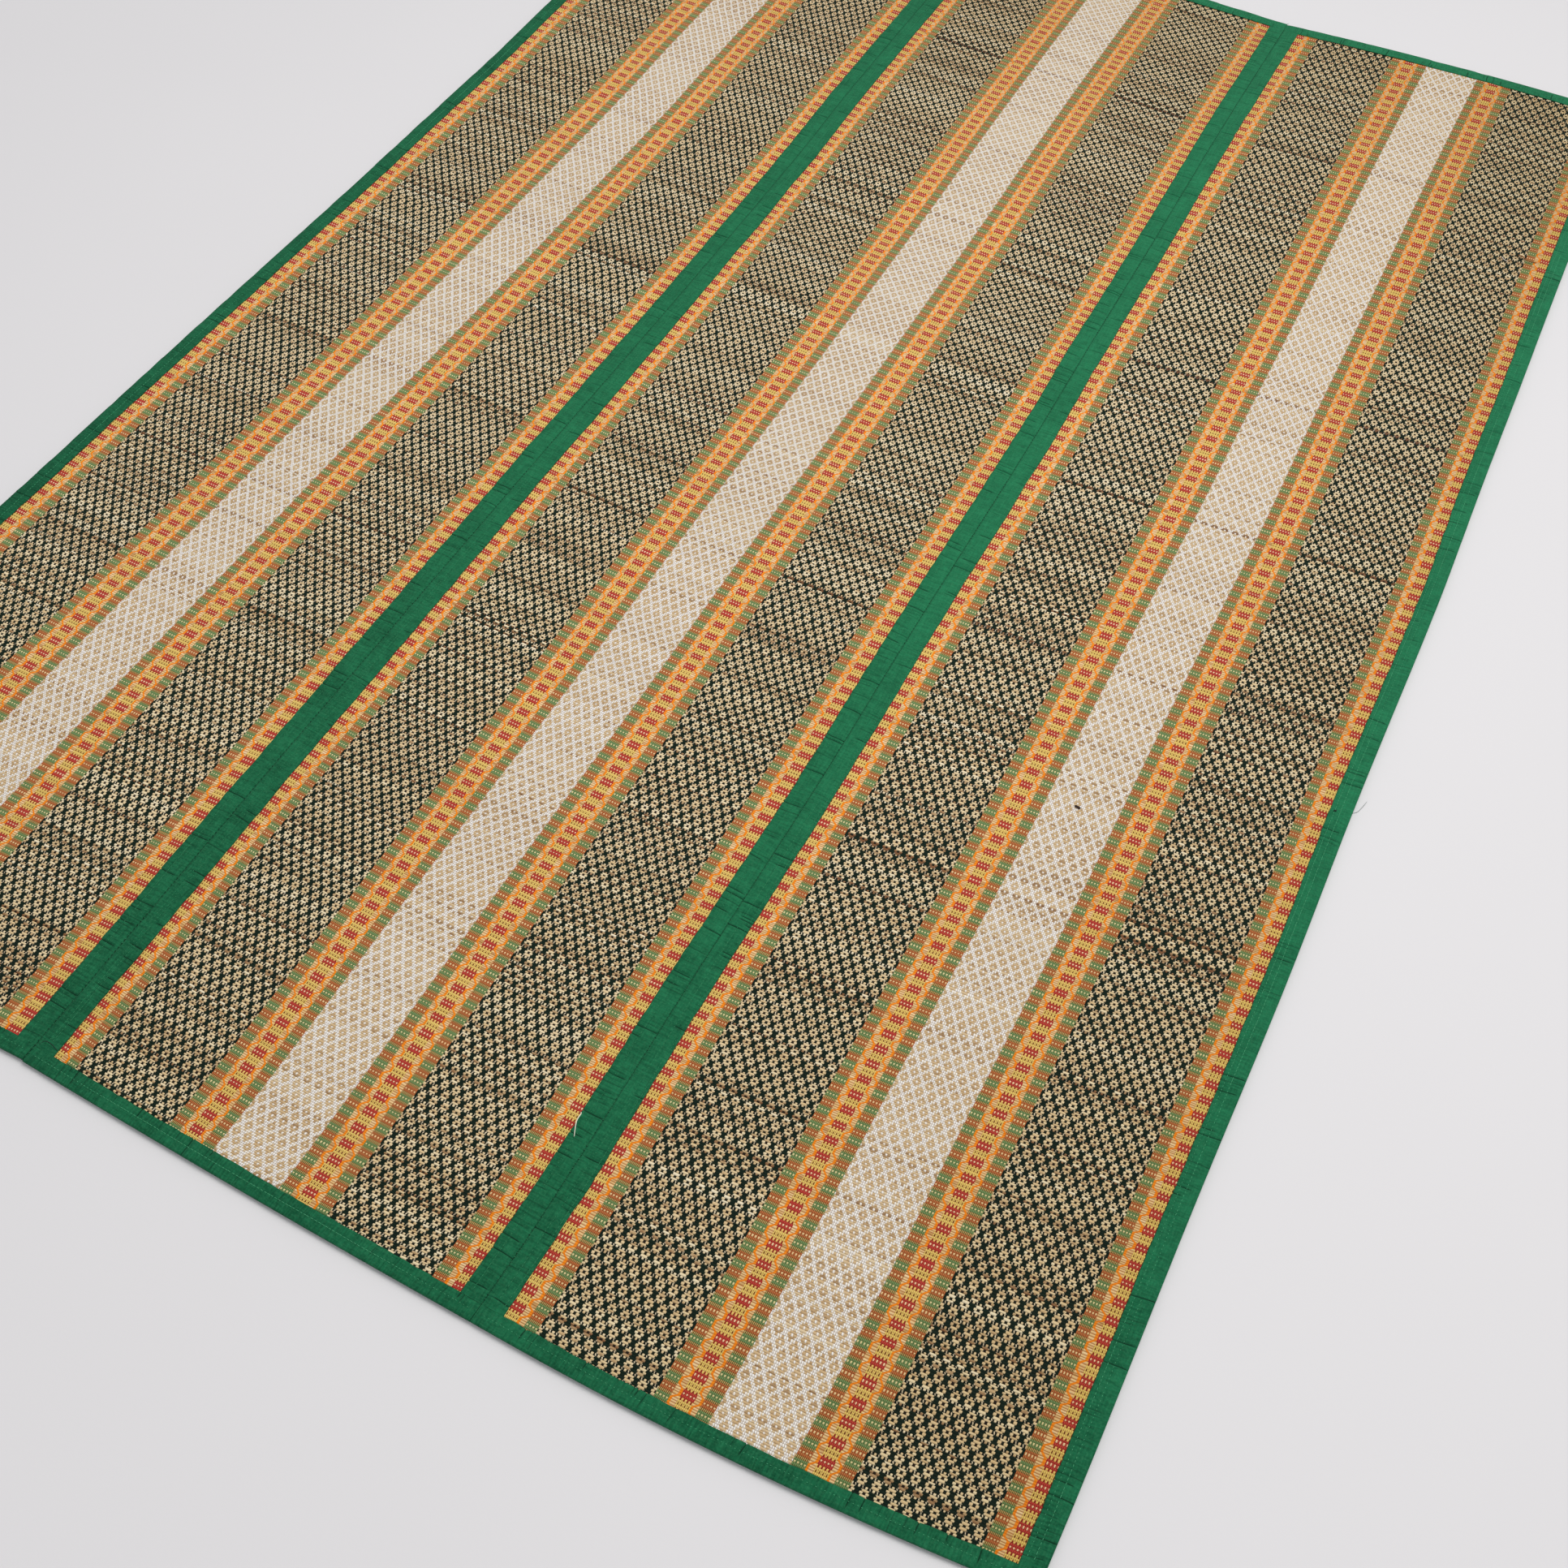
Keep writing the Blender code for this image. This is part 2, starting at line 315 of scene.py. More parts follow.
LOOSE_ROWS = (
    LooseRow(
        "pale_loose_end", "woven_grass", 0.00040, ((206, 206, 184), (240, 238, 220)),
        ((0.1828, -0.7420, 0.0030), (0.1845, -0.7431, 0.0042),
         (0.1851, -0.7507, 0.0054), (0.1897, -0.7615, 0.0053)),
    ),
    LooseRow(
        "grey_loose_end", "green_cotton", 0.00018, ((96, 112, 104), (128, 140, 132)),
        ((0.6095, -0.2112, 0.0006), (0.6133, -0.2075, 0.0002),
         (0.6155, -0.2016, 0.0002), (0.6175, -0.1938, 0.0010)),
    ),
    LooseRow(
        "brown_loose_stem", "woven_grass", 0.00055, ((104, 58, 26), (166, 98, 44)),
        ((0.5560, 0.5861, 0.0034), (0.5613, 0.5834, 0.0048),
         (0.5671, 0.5791, 0.0048), (0.5763, 0.5820, 0.0034)),
    ),
    LooseRow(
        "white_loose_end", "woven_grass", 0.00035, ((214, 206, 196), (240, 234, 226)),
        ((0.5412, 0.5748, 0.0034), (0.5425, 0.5710, 0.0046),
         (0.5445, 0.5692, 0.0046), (0.5490, 0.5695, 0.0034)),
    ),
    LooseRow(
        "dark_knot", "green_cotton", 0.00070, ((4, 34, 24), (10, 60, 40)),
        ((0.5953, -0.2190, 0.0045), (0.5960, -0.2186, 0.0051),
         (0.5968, -0.2182, 0.0051), (0.5976, -0.2176, 0.0045)),
    ),
    LooseRow(
        "dark_fleck", "woven_grass", 0.00125, ((26, 12, 6), (64, 34, 20)),
        ((0.4026, -0.3142, 0.0027), (0.4042, -0.3144, 0.0031),
         (0.4060, -0.3146, 0.0031), (0.4078, -0.3148, 0.0027)),
    ),
    # A small ridge where a tucked tape end makes a lip at the near end of the left seam; its dark
    # tones are painted shadow of that lip.
    LooseRow(
        "seam_end_fold", "green_cotton", 0.00034, ((4, 42, 28), (12, 62, 42)),
        ((-0.2029, -0.8841, 0.0044), (-0.2002, -0.8798, 0.0048),
         (-0.1945, -0.8796, 0.0048), (-0.1872, -0.8816, 0.0045)),
    ),
)
LOOSE_STATIONS = 16

# --- Outline of the mat, at any place along or across it.


def curve(places, values, at):
    """Values given at rising places, read anywhere between them on a smooth curve."""
    places, values = np.array(places, float), np.array(values, float)
    low = np.maximum(np.arange(len(places)) - 1, 0)
    high = np.minimum(np.arange(len(places)) + 1, len(places) - 1)
    slopes = (values[high] - values[low]) / (places[high] - places[low])
    at = np.clip(at, places[0], places[-1])
    before = np.clip(np.searchsorted(places, at) - 1, 0, len(places) - 2)
    span = places[before + 1] - places[before]
    t = (at - places[before]) / span
    return (
        values[before] * (2 * t**3 - 3 * t**2 + 1)
        + slopes[before] * span * (t**3 - 2 * t**2 + t)
        + values[before + 1] * (3 * t**2 - 2 * t**3)
        + slopes[before + 1] * span * (t**3 - t**2)
    )


def long_line(number, y):
    """x of a long line: 0 is the left edge, 1 and 2 are the seams and 3 is the right edge."""
    straight = (number - len(SHEET_NAMES) / 2) * SHEET_PITCH
    places, strays = [row.along for row in SIDE_ROWS], [row[number + 1] for row in SIDE_ROWS]
    return straight + MM * curve(places, strays, y)


def sides_of(sheet, y):
    """x of a sheet's left and right edge."""
    return long_line(sheet, y) + CLEARANCE / 2, long_line(sheet + 1, y) - CLEARANCE / 2


def ends_of(sheet, across):
    """y of a sheet's near and far end, at a share of its width."""
    row = END_ROWS[SHEET_NAMES[sheet]]
    bulge = 4 * across * (1 - across)
    near = row.near_left + across * (row.near_right - row.near_left) + row.near_bow * bulge
    far = row.far_left + across * (row.far_right - row.far_left) + row.far_bow * bulge
    return -HALF_LENGTH - MM * near, HALF_LENGTH + MM * far


def point_on_side(sheet, side, depth, share):
    """x and y, in from a sheet's left (-1) or right (1) edge, at a share of its length."""
    across = depth / SHEET_PITCH if side < 0 else 1 - depth / SHEET_PITCH
    near, far = ends_of(sheet, across)
    inset = END_BINDING_WIDTH - CORNER_TUCK
    y = near + inset + share * (far - near - 2 * inset)
    left, right = sides_of(sheet, y)
    return (left + depth if side < 0 else right - depth), y


def point_on_end(sheet, end, depth, across):
    """x and y, in from a sheet's near (-1) or far (1) end, at a share of its width."""
    near, far = ends_of(sheet, across)
    y = near + depth if end < 0 else far - depth
    left, right = sides_of(sheet, y)
    return left + across * (right - left), y


def middle_of_plan():
    """Middle of the mat's box in the plan above, whose own middle is not quite at zero."""
    share = np.linspace(0, 1, 200)
    edges = [(sheet, side) for sheet in range(len(SHEET_NAMES)) for side in (-1, 1)]
    outline = [point(*edge, 0, share) for edge in edges for point in (point_on_side, point_on_end)]
    outline = np.concatenate(outline, axis=1)
    return (outline.min(1) + outline.max(1)) / 2


CAD_LOW, CAD_HIGH = np.array(CAD_BOX)
SHIFT = np.append(((CAD_LOW + CAD_HIGH) / 2)[:2] - middle_of_plan(), CAD_LOW[2])

# --- Meshes.


def grid_quads(ids):
    """Faces over a grid of point numbers, seen from above when rows run in y and columns in x."""
    corners = (ids[:-1, :-1], ids[:-1, 1:], ids[1:, 1:], ids[1:, :-1])
    return np.stack(corners, -1).reshape(-1, 4)


def mesh_object(name, points, faces, material, values=None, bake=None):
    """An object from points in the plan's frame and a list of arrays or tuples of faces.
    values holds named numbers or triples a point, and bake a place on the map a face corner."""
    groups = [np.atleast_2d(group) for group in faces]
    counts = np.concatenate([np.full(len(group), group.shape[1]) for group in groups])
    loops = np.concatenate([group.reshape(-1) for group in groups])
    used, loops = np.unique(loops, return_inverse=True)
    mesh = bpy.data.meshes.new(name)
    mesh.vertices.add(len(used))
    mesh.vertices.foreach_set("co", (points[used] + SHIFT).astype(np.float32).ravel())
    mesh.loops.add(len(loops))
    mesh.loops.foreach_set("vertex_index", loops.astype(np.int32))
    mesh.polygons.add(len(counts))
    starts = np.concatenate([[0], np.cumsum(counts)[:-1]])
    mesh.polygons.foreach_set("loop_start", starts.astype(np.int32))
    mesh.update(calc_edges=True)
    mesh.validate()
    for key, value in (values or {}).items():
        value = np.asarray(value)[used].astype(np.float32)
        kind, part = ("FLOAT_VECTOR", "vector") if value.ndim == 2 else ("FLOAT", "value")
        mesh.attributes.new(key, kind, "POINT").data.foreach_set(part, value.ravel())
    if bake is not None:
        mesh.uv_layers.new(name="OFBake").uv.foreach_set("vector", bake.astype(np.float32).ravel())
    mesh.shade_smooth()
    mesh.materials.append(material)
    piece = bpy.data.objects.new(name, mesh)
    bpy.context.scene.collection.objects.link(piece)
    return piece


# --- Woven sheets.


def stem_rows(sheet, rng):
    """Rows of the mesh: where each crosses the sheet's middle, its place in the weave counted in
    stems, and its height. A stem has a valley on either side and two shoulders."""
    y = np.linspace(-HALF_LENGTH - 0.03, HALF_LENGTH + 0.03, 4000)
    beyond = y - np.clip(y, WEAVE_PLACES[0], WEAVE_PLACES[-1])
    repeats = curve(WEAVE_PLACES, WEAVE_PLANS[SHEET_NAMES[sheet]].repeats, y)
    stems_at = STEMS_PER_REPEAT * (repeats + REPEATS_PER_METRE * beyond)
    numbers = np.arange(math.ceil(stems_at[0]) + 2, math.floor(stems_at[-1]) - 2)
    thickness = rng.triangular(*STEM_THICKNESS, len(numbers))
    total = np.concatenate([[0], np.cumsum(thickness)])
    padded = np.pad(total, SPACING_SMOOTHING // 2, mode="reflect", reflect_type="odd")
    evenly = np.ones(SPACING_SMOOTHING) / SPACING_SMOOTHING
    drift = total - np.convolve(padded, evenly, "valid")
    starts = numbers[0] - 0.5 + np.arange(len(total)) + drift
    shoulders = np.array((-0.5, -STEM_SHOULDER, STEM_SHOULDER))
    rises = np.array((-VALLEY_DEPTH, SHOULDER_HEIGHT, SHOULDER_HEIGHT))
    place = starts[:-1, None] + (shoulders + 0.5) * np.diff(starts)[:, None]
    weave = numbers[:, None] + shoulders
    height = rises + (thickness[:, None] - 1) * THICK_STEM_RISE
    stem = np.repeat(np.arange(len(numbers)), len(shoulders))
    return np.interp(place.ravel(), stems_at, y), weave.ravel(), height.ravel(), stem


def stem_tones(sheet, middle_places, rng):
    """Tone of every stem, 0 the darkest and 1 the palest."""
    tones = np.clip(rng.normal(*STEM_TONE, len(middle_places)), *STEM_TONE_LIMITS)
    pale = rng.random(len(tones)) < PALE_SHARE
    brown = rng.random(len(tones)) < BROWN_SHARE
    tones[pale], tones[brown] = PALE_TONE, BROWN_TONE
    for odd in ODD_STEMS:
        if odd.sheet == SHEET_NAMES[sheet]:
            first = int(np.argmin(abs(middle_places - odd.along)))
            tones[first : first + odd.count] = odd.tone
    return tones


def ripple(x, y, seed):
    """Slow unevenness of a woven sheet lying on a floor, from -1 to 1."""
    rng = np.random.default_rng(seed)
    total = np.zeros(np.broadcast(x, y).shape)
    for _ in range(RIPPLE_WAVES):
        angle, length = rng.uniform(0, 2 * math.pi), rng.uniform(*RIPPLE_LENGTHS)
        phase = rng.uniform(0, 2 * math.pi)
        total += np.sin((x * math.cos(angle) + y * math.sin(angle)) * 2 * math.pi / length + phase)
    return total / RIPPLE_WAVES


def sheet_columns(name):
    """The mesh's columns from left to right: thread ends from the middle of the weave, and metres
    from the middle of the sheet. The first and last are the sheet's own edges."""
    left, right = np.array(BORDER_PLACES[name])
    ends = np.concatenate([-np.array(BORDER_ENDS)[::-1], BORDER_ENDS])
    places = np.concatenate([-left[::-1], right])
    column_ends = np.sort(np.concatenate([ends, (-DARK_MIDDLE, 0, DARK_MIDDLE)]))
    column_x = TURNED[name] * MM * np.interp(column_ends, ends, places)
    order = np.argsort(column_x)
    outer = HIDDEN_ENDS * TURNED[name]
    edge = SHEET_PITCH / 2
    return (
        np.concatenate([[-outer], column_ends[order], [outer]]).astype(float),
        np.concatenate([[-edge], column_x[order], [edge]]),
    )


def sheet_grid(sheet, column_x, row_y, row_weave):
    """x, y and place in the weave of every point, and each column's first and last row: those are
    moved along their column to the sheet's own ends."""
    plan = WEAVE_PLANS[SHEET_NAMES[sheet]]
    across = column_x / ROW_HALF_WIDTH
    rise = curve(WEAVE_PLACES, plan.rise, row_y)[:, None]
    bend = curve(WEAVE_PLACES, plan.bend, row_y)[:, None]
    y = row_y[:, None] + MM * (rise * across + bend * across**2)
    left, right = sides_of(sheet, y)
    x = (left + right) / 2 + column_x
    x[:, 0] = left[:, 0] + SHEET_INSET
    x[:, -1] = right[:, -1] - SHEET_INSET
    near, far = ends_of(sheet, (x - left) / (right - left))
    near, far = near + SHEET_INSET, far - SHEET_INSET
    first = (y <= near).sum(0) - 1
    last = len(row_y) - (y >= far).sum(0)
    weave = np.repeat(row_weave[:, None], len(column_x), 1)
    for k in range(len(column_x)):
        for row, line, step in ((first[k], near, 1), (last[k], far, -1)):
            share = (line[row, k] - y[row, k]) / (y[row + step, k] - y[row, k])
            weave[row, k] += share * (weave[row + step, k] - weave[row, k])
            x[row, k] += share * (x[row + step, k] - x[row, k])
            y[row, k] = line[row, k]
    inset = np.minimum.reduce([x - left, right - x, y - near, far - y])
    return x, y, weave, first, last, inset


def sheet_bottom(sheet, x, y, inset):
    """Height of a sheet's underside: held up by its bindings, and on the floor away from them."""
    share = np.clip((inset - SIDE_BINDING_WIDTH) / SAG_RUN, 0, 1)
    share = share * share * (3 - 2 * share)
    bottom = SHEET_BOTTOM + share * (SHEET_REST_HEIGHT - SHEET_BOTTOM)
    return bottom + share * RIPPLE_HEIGHT * (1 + ripple(x, y, 70 + sheet))


def sheet_faces(rows, columns, first, last):
    """Faces of the top, of the underside, whose points come second, and of the rim between."""

    def ids(row_numbers, column_numbers, layer):
        row_grid = np.clip(row_numbers[:, None], first[column_numbers], last[column_numbers])
        return layer * rows * columns + row_grid * columns + column_numbers

    top_ids = ids(np.arange(rows), np.arange(columns), 0)
    below_columns = np.array([0, 6, 12, 18, columns - 1])
    valley_rows = np.concatenate([[0], np.arange(0, rows, 3), [rows - 1]])
    below_ids = ids(valley_rows, below_columns, 1)
    rim = []
    for top, below, stops, flip in (
        (top_ids[:, 0], below_ids[:, 0], valley_rows, False),
        (top_ids[:, -1], below_ids[:, -1], valley_rows, True),
        (top_ids[0], below_ids[0], below_columns, True),
        (top_ids[-1], below_ids[-1], below_columns, False),
    ):
        for k, (low, high) in enumerate(zip(stops, stops[1:])):
            if below[k] != below[k + 1]:
                loop = [below[k + 1], below[k], *dict.fromkeys(top[low : high + 1])]
                rim.append(loop[::-1] if flip else loop)
    return clean_faces(grid_quads(top_ids)), clean_faces(grid_quads(below_ids)[:, ::-1]), rim


def woven_sheet(sheet, material):
    """One woven sheet as a thin closed solid whose top and bottom follow every stem."""
    name = SHEET_NAMES[sheet]
    rng = np.random.default_rng(410 + sheet)
    row_y, row_weave, row_height, row_stem = stem_rows(sheet, rng)
    tones = stem_tones(sheet, row_y[1::3], rng)
    column_ends, column_x = sheet_columns(name)
    columns, rows = len(column_x), len(row_y)
    x, y, weave, first, last, inset = sheet_grid(sheet, column_x, row_y, row_weave)
    bottom = sheet_bottom(sheet, x, y, inset)
    top = bottom + SHEET_THICKNESS - RIB_ALLOWANCE + row_height[:, None]
    points = np.concatenate([np.stack([x, y, top], -1), np.stack([x, y, bottom], -1)])
    points = points.reshape(-1, 3)

    # A stem's tone changes slowly along it.
    pace = rng.uniform(*TONE_PACES, len(tones))[row_stem, None]
    phase = rng.uniform(0, 2 * math.pi, len(tones))[row_stem, None]
    swing = TONE_SWING * np.sin(column_x / ROW_HALF_WIDTH * pace + phase)
    tone = tones[row_stem][:, None] + swing
    weave_place = np.stack([np.broadcast_to(column_ends, y.shape), weave, tone], -1)
    values = {"weave": np.concatenate([weave_place.reshape(-1, 3)] * 2)}

    top_quads, below_quads, rim = sheet_faces(rows, columns, first, last)
    left, right = sides_of(sheet, points[:, 1])
    flat = np.stack([points[:, 0] - (left + right) / 2, points[:, 1]], -1)
    bake = sheet_bake_map(flat, points[:, 2], rows // 2 * columns, top_quads, below_quads, rim)
    return mesh_object(
        f"{name}_woven_sheet", points, [*top_quads, *below_quads, *rim], material, values, bake
    )


def sheet_bake_map(flat, height, split, top_quads, below_quads, rim):
    """Near half and far half of the top side by side, the underside small beside them and the rim
    in what is left. flat holds every point's place on the sheet; the far half starts at split."""
    origin = (SHEET_PITCH / 2, HALF_LENGTH + 0.02)
    bake = []
    for group in top_quads:
        place = flat[group] + origin
        place[group.min(1) >= split] += (SHEET_PITCH + 0.004, -HALF_LENGTH + 0.01)
        bake.append(place.reshape(-1, 2))
    for group in below_quads:
        place = (flat[group] + origin) * UNDER_SCALE
        bake.append((place + (2 * SHEET_PITCH + 0.008, 0)).reshape(-1, 2))
    for loop in rim:
        side, along = flat[loop].T
        across = 2 * SHEET_PITCH + 0.010 + 0.02 * (side > 0) + height[loop]
        bake.append(np.stack([across, 0.55 + 0.18 * (along + HALF_LENGTH)], -1))
    return np.concatenate(bake) / SHEET_BAKE_SIDE


def clean_faces(quads):
    """Quads split into whole ones and those with two corners in one place, as triangles."""
    pairs = (0, 3), (1, 2), (0, 1), (2, 3)
    start, stop, low, high = (quads[:, a] == quads[:, b] for a, b in pairs)
    groups = [quads[~(start | stop | low | high)]]
    groups += [quads[start & ~stop][:, (0, 1, 2)], quads[stop & ~start][:, (0, 1, 3)]]
    groups += [quads[low & ~high][:, (1, 2, 3)], quads[high & ~low][:, (0, 1, 2)]]
    return [group for group in groups if len(group)]


# --- Bindings.


def binding_profile(width):
    """The folded cotton's section as depth from the fold and height: the underside from its lip
    to the fold, the fold, the upper side to its lip, then the inner skin back. It comes with the
    numbers of the first and last point of the upper side."""
    under = [(width, 0.0006), (width - 0.0005, 0.0001), (width * 0.55, 0.0), (0.0021, 0.0001)]
    fold = [(0.0008, 0.0006), (0.0, 0.0015), (-0.00014, 0.0027)]
    fold += [(-0.0001, 0.0041), (0.0001, 0.00455)]
    upper = [(share * width, BINDING_THICKNESS - drop) for share, drop in UPPER_SIDE]
    low, high = SHEET_BOTTOM, SHEET_BOTTOM + SHEET_THICKNESS + 0.0001
    inner = [
        (width - 0.0003, high),
        (width * 0.5, high),
        (0.0012, high - 0.0002),
        (0.0012, low + 0.0001),
        (width * 0.5, low - 0.0001),
        (width - 0.0003, low - 0.0001),
    ]
    start = len(under + fold)
    return np.array(under + fold + upper + inner), start, start + len(upper)


def smooth_noise(along, step, rng):
    """A seeded curve through one random value a step, from -1 to 1."""
    knots = np.arange(-2, int(along.max() / step) + 4)
    values = rng.uniform(-1, 1, len(knots))
    t = along / step
    low = np.floor(t).astype(int)
    share = t - low
    share = share * share * (3 - 2 * share)
    return values[low + 2] * (1 - share) + values[low + 3] * share


def wander(along, waves, rng):
    """The sum of smooth noises, each of its own size and step."""
    return sum(size * smooth_noise(along, step, rng) for size, step in waves)


def pucker_places(length, per_metre, rng):
    """Places of the puckers along a binding."""
    places = []
    s = FIRST_PUCKER
    while s < length - FIRST_PUCKER:
        crowd = CROWDING if min(s, length - s) < CROWDED_END else 1.0
        s += max(rng.gamma(GAP_SHAPE, 1 / (GAP_SHAPE * per_metre * crowd)), LEAST_GAP)
        places.append(s)
        if rng.random() < PAIR_SHARE:
            s += rng.uniform(*PAIR_GAPS)
            places.append(s)
    return np.array([place for place in places if place < length - LAST_PUCKER])


def ring_places(length, pucker_at, lap_at):
    """Places of the mesh's rings along a binding: even ones, and more at puckers and laps."""
    even = np.linspace(0, length, max(int(length / RING_STEP), 4))
    extra = [pucker_at + offset for offset in (-PUCKER_HALF, 0, PUCKER_HALF)]
    extra += [lap_at + offset for offset in LAP_RINGS]
    special = np.unique(np.round(np.concatenate(extra), 6))
    special = special[(special > RING_CLEAR) & (special < length - RING_CLEAR)]
    kept = [s for s in even if np.abs(special - s).min() > RING_CLEAR]
    ends = [0, RING_END, length - RING_END, length]
    rings = np.sort(np.concatenate([kept, special, ends]))
    return rings[np.append(True, np.diff(rings) > RING_APART)]


class Strip:
    """A strip of cotton folded over an edge, as rings of one profile along it. depth is measured
    in from the fold, share is depth over the width, and edge is how much further in its lip is."""

    def __init__(self, length, width, row, rng):
        self.row = row
        self.profile, start, self.upper_stop = binding_profile(width)
        self.pucker_at = pucker_places(length, row.puckers, rng)
        self.lap_at = np.array(row.laps) + length / 2
        self.rings = ring_places(length, self.pucker_at, self.lap_at)
        self.depth = np.repeat(self.profile[None, :, 0], len(self.rings), 0)
        self.height = np.repeat(self.profile[None, :, 1], len(self.rings), 0)
        # Painted shade in the creases, from 0 to 1 at each point.
        self.crease = np.zeros_like(self.depth)
        self.share = self.depth / width
        self.edge = np.zeros(len(self.rings))
        self.fold_corner = slice(start - 2, start)
        self.upper = np.zeros(len(self.profile), bool)
        self.upper[start - 2 : self.upper_stop] = True

    def swell(self, rng):
        """Slow swell between the stitches, an inner edge that is never quite even, and dents."""
        upper = self.upper
        rise = np.sin(np.pi * np.clip(self.share, 0, 1)) * wander(self.rings, SWELL, rng)[:, None]
        self.height[:, upper] += rise[:, upper]
        self.edge += wander(self.rings, EDGE_WANDER, rng) + self.row.wider * MM
        pulled = np.clip(smooth_noise(self.rings, 0.014, rng), 0, 1)[:, None]
        self.depth[:, self.fold_corner] += (0.0001, 0.0005) * pulled
        self.height[:, self.fold_corner] -= (0.0001, 0.0003) * pulled
        for line in self.row.stitch_lines:
            dent = np.exp(-(((self.depth - line * MM) / DENT_HALF) ** 2))
            self.height[:, upper] -= DENT_DEPTH * dent[:, upper]

    def pucker(self, rng):
        """Short creases across the upper side from its inner edge, some strong and most faint."""
        count, upper = len(self.pucker_at), self.upper
        sizes = rng.uniform(*FAINT_SIZES, count)
        strong = rng.random(count) < STRONG_SHARE
        sizes[strong] = rng.uniform(*STRONG_SIZES, strong.sum())
        reaches = np.clip(rng.normal(self.row.reach, REACH_SPREAD, count), *REACH_LIMITS)
        for at, size, far in zip(self.pucker_at, sizes, reaches):
            ring = int(np.argmin(abs(self.rings - at)))
            fade = np.clip((self.share[ring] - (1 - far)) / 0.25, 0, 1)[upper]
            self.height[ring, upper] -= PUCKER_DEPTH * size * fade
            # Painted shade along each crease, darker for bigger puckers.
            dark = np.minimum(size * fade, 1)
            self.crease[ring, upper] = np.maximum(self.crease[ring, upper], dark)
            for beside in (ring - 1, ring + 1):
                if 0 <= beside < len(self.rings):
                    self.height[beside, upper] += PUCKER_SHOULDER * size * fade
            self.edge[ring] -= PUCKER_PULL * size

    def lap(self):
        """Steps where a new length of cotton lies over the last."""
        rings, upper = self.rings, self.upper
        for at in self.lap_at:
            over = (rings > at - 0.0002) & (rings < at + LAP_LENGTH)
            lift = LAP_LIFT * np.clip(1 - (rings - at) / LAP_LENGTH, 0, 1)
            self.height[np.ix_(over, upper)] += lift[over][:, None]
            ring = int(np.argmin(abs(rings - (at - LAP_GAP))))
            self.height[ring, upper] -= LAP_LIFT
            # Painted shade in the groove at the lap's step.
            self.crease[ring, upper] = 1.0

    def along(self, rng):
        """Distance along the strip, where rings lean and arch but never cross."""
        rings, share = self.rings, self.share
        lean = wander(rings, RING_LEAN, rng)[:, None]
        arch = wander(rings, RING_ARCH, rng)[:, None]
        s = rings[:, None] + lean * (share - 0.5) + arch * share * (1 - share) * 2
        s[[0, 1, -2, -1]] = rings[[0, 1, -2, -1], None]
        return np.maximum.accumulate(s, axis=0)


def binding(name, place, length, width, row, seamed, material, rng):
    """A strip of cotton folded over an edge, where place(depth, share of length) gives x and y. It
    is gathered by puckers, dented along its stitches and lapped where a new length starts."""
    strip = Strip(length, width, row, rng)
    strip.swell(rng)
    strip.pucker(rng)
    strip.lap()
    depth = strip.depth + strip.edge[:, None] * np.clip(strip.share, 0, 1) ** 4
    s = strip.along(rng)

    # The strip's own ends are pressed thinner, and the inner skin of an end binding stays hidden.
    middle = BINDING_THICKNESS / 2
    height = strip.height
    for ring in (0, -1):
        height[ring] = middle + (height[ring] - middle) * PRESSED_END
        if row is END_ROW:
            depth[ring, strip.upper_stop :] = width - 0.0002
    height = np.maximum(height, 0.0)

    x, y = place(depth, s / length)
    points = np.stack([x, y, height], -1).reshape(-1, 3)
    ids = np.arange(len(points)).reshape(depth.shape)
    quads = grid_quads(np.concatenate([ids, ids[:, :1]], 1))
    number = np.full_like(s, rng.uniform(0, 0.9) + seamed)
    values = {
        "crease": strip.crease.reshape(-1),
        "cloth": np.stack([s, depth, number], -1).reshape(-1, 3),
    }
    bake = binding_bake_map(strip.profile, strip.rings, length)
    return mesh_object(name, points, [quads, ids[0], ids[-1][::-1]], material, values, bake)


def binding_bake_map(profile, rings, length):
    """The strip cut into lengths that lie side by side, with its two end caps beside them."""
    steps = np.linalg.norm(np.diff(np.concatenate([profile, profile[:1]]), axis=0), axis=1)
    round_place = np.concatenate([[0], np.cumsum(steps)])
    pitch = round_place[-1] + 0.002
    lengths = max(round(math.sqrt(length / pitch)), 1)
    side = max(length / lengths + 0.006, lengths * pitch + 0.006)
    ring_numbers = np.repeat(np.arange(len(rings) - 1), len(profile))
    columns = np.tile(np.arange(len(profile)), len(rings) - 1)
    strip = np.minimum((rings[ring_numbers] / (length / lengths)).astype(int), lengths - 1)
    corners = []
    for ring_step, column_step in ((0, 0), (0, 1), (1, 1), (1, 0)):
        along = rings[ring_numbers + ring_step] - strip * length / lengths
        corners.append(np.stack([along, round_place[columns + column_step] + strip * pitch], -1))
    caps = [profile[:, [1, 0]] * 0.3 + (side - 0.004, 0.001 + 0.01 * k) for k in (0, 1)]
    return np.concatenate([np.stack(corners, 1).reshape(-1, 2), caps[0], caps[1][::-1]]) / side


